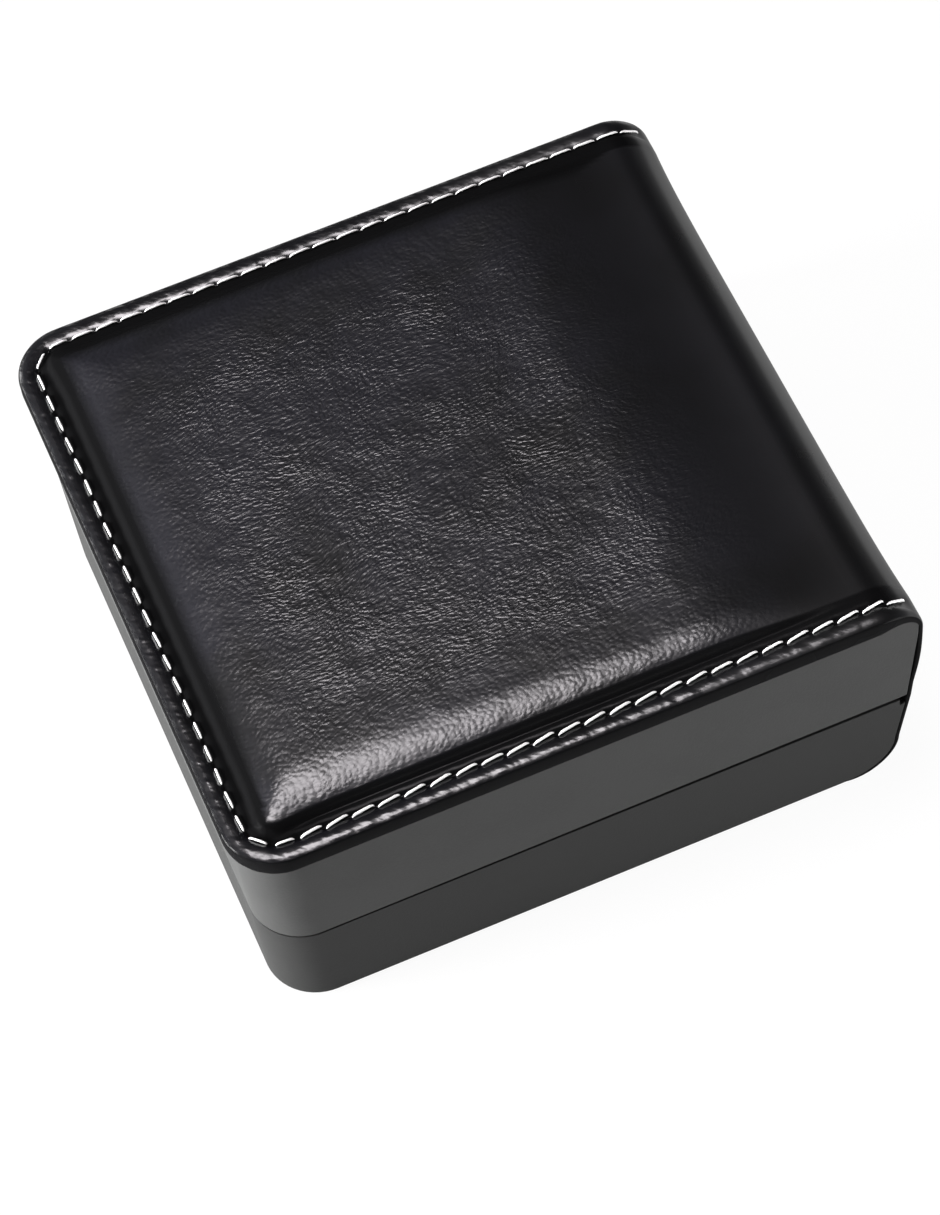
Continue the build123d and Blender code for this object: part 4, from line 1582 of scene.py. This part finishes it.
@dataclass(frozen=True)
class Viewpoint:
    """Camera at the photograph's angle."""

    place: Point = (363.693, -100.780, 598.216)
    right: Point = (0.38266579, 0.92048504, -0.07920978)
    down: Point = (0.7637317, -0.36341081, -0.5335227)
    forward: Point = (-0.51988535, 0.14366587, -0.84206849)
    lens: float = 167.0
    sensor: float = 36.0

    def build(self) -> None:
        """Make the scene's camera."""
        data = bpy.data.cameras.new("viewpoint")
        data.lens = self.lens
        data.sensor_width = self.sensor
        data.sensor_fit = "HORIZONTAL"
        data.clip_start = 0.01
        camera = linked("viewpoint", data)
        axes = Matrix((self.right, [-c for c in self.down], [-c for c in self.forward])).transposed()
        camera.matrix_world = Matrix.Translation(Vector(self.place) * MM) @ axes.to_4x4()
        bpy.context.scene.camera = camera


@dataclass(frozen=True)
class SoftBox:
    """Square studio lamp aimed at a point of the box."""

    name: str
    place: Point
    target: Point
    size: float
    watts: float
    colour: Colour = (1.0, 1.0, 1.0)

    def build(self) -> None:
        """Make the lamp."""
        data = bpy.data.lights.new(self.name, "AREA")
        data.shape = "SQUARE"
        data.size = self.size * MM
        data.energy = self.watts
        data.color = self.colour
        lamp = linked(self.name, data)
        lamp.location = Vector(self.place) * MM
        lamp.visible_camera = False
        aim = Vector(self.target) - Vector(self.place)
        lamp.rotation_euler = aim.to_track_quat("-Z", "Y").to_euler()


@dataclass
class Studio:
    """Pale floor, pale surround and soft lamps."""

    lamps: tuple[SoftBox, ...] = (
        SoftBox("overhead", (-40, -60, 900), (0, 0, 30), 340, 5.7, (1.0, 0.95, 0.98)),
        SoftBox("opening_side", (-80, -700, 150), (0, 0, 25), 300, 24.0),
        SoftBox("near_corner", (300, -330, 50), (50, -50, 25), 160, 0.5),
        SoftBox("spine_end", (190, 175, 55), (52, 45, 30), 110, 0.42),
        SoftBox("far_corner", (-430, -400, 120), (-40, -40, 25), 260, 2.2),
    )
    horizon: float = 0.23
    ceiling: float = 0.045
    far_side: float = 0.12
    floor_size: float = 16000.0
    floor_drop: float = 0.1
    floor_white: float = 0.94

    def build(self) -> None:
        """Make world, floor and lamps."""
        bpy.context.scene.view_settings.view_transform = "Standard"
        self._world()
        self._floor()
        for lamp in self.lamps:
            lamp.build()

    def _world(self) -> None:
        """A bright band at the horizon, dimmer behind the far side, under a dim ceiling."""
        world = bpy.data.worlds.new("surround")
        bpy.context.scene.world = world
        world.use_nodes = True
        tree = FinishTree("surround", world)
        direction = tree.node("ShaderNodeTexCoord", {}, {}, "Generated")
        height = tree.node("ShaderNodeSeparateXYZ", {}, {"Vector": direction}, "Z")
        across = tree.node("ShaderNodeSeparateXYZ", {}, {"Vector": direction}, "X")
        near = tree.smooth(across, -0.9, -0.5, self.far_side, 1.0)
        band = tree.smooth(height, 0.12, 0.62, self.horizon - self.ceiling, 0.0) * near + self.ceiling
        tree.finish(tree.node("ShaderNodeBackground", {}, {"Strength": band}))

    def _floor(self) -> None:
        """A pale floor that shows as white and keeps a faint shadow."""
        deselect_all()
        bpy.ops.mesh.primitive_plane_add(size=self.floor_size * MM, location=(0, 0, -self.floor_drop * MM))
        floor = bpy.context.object
        floor.name = "studio_floor"
        tree = FinishTree("studio_floor")
        seen = [
            tree.node("ShaderNodeLightPath", {}, {}, ray)
            for ray in ("Is Camera Ray", "Is Glossy Ray", "Is Transmission Ray")
        ]
        lit = tree.node("ShaderNodeBsdfDiffuse", {}, {"Color": (0.88, 0.88, 0.88, 1)})
        white = tree.node("ShaderNodeEmission", {}, {"Color": (1, 1, 1, 1), "Strength": 1.0})
        share = tree.node("ShaderNodeMath", {"operation": "MAXIMUM"}, {0: seen[0], 1: seen[1]})
        share = tree.node("ShaderNodeMath", {"operation": "MAXIMUM"}, {0: share, 1: seen[2]})
        inputs = {0: share * self.floor_white, 1: lit, 2: white}
        floor.data.materials.append(tree.finish(tree.node("ShaderNodeMixShader", {}, inputs)))
        floor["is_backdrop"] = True


def write_sizes() -> None:
    """Work out the CAD box and the dressed box as plain numbers, which are not kept."""
    boxes = {"cad": cad_box, "visual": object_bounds()}
    plain = {name: [[float(c) for c in corner] for corner in box] for name, box in boxes.items()}


def main() -> None:
    """Build camera, stage, lid and base in order."""
    logging.basicConfig(level=logging.INFO, format="%(name)s: %(message)s")
    Viewpoint().build()
    Studio().build()
    finishes = Finishes()
    LidDressing(finishes).build()
    WatchPillow(finishes).build()
    HingeScrews(finishes).build()
    RigidPieces(finishes).build()
    write_sizes()


if __name__ == "__main__":
    main()
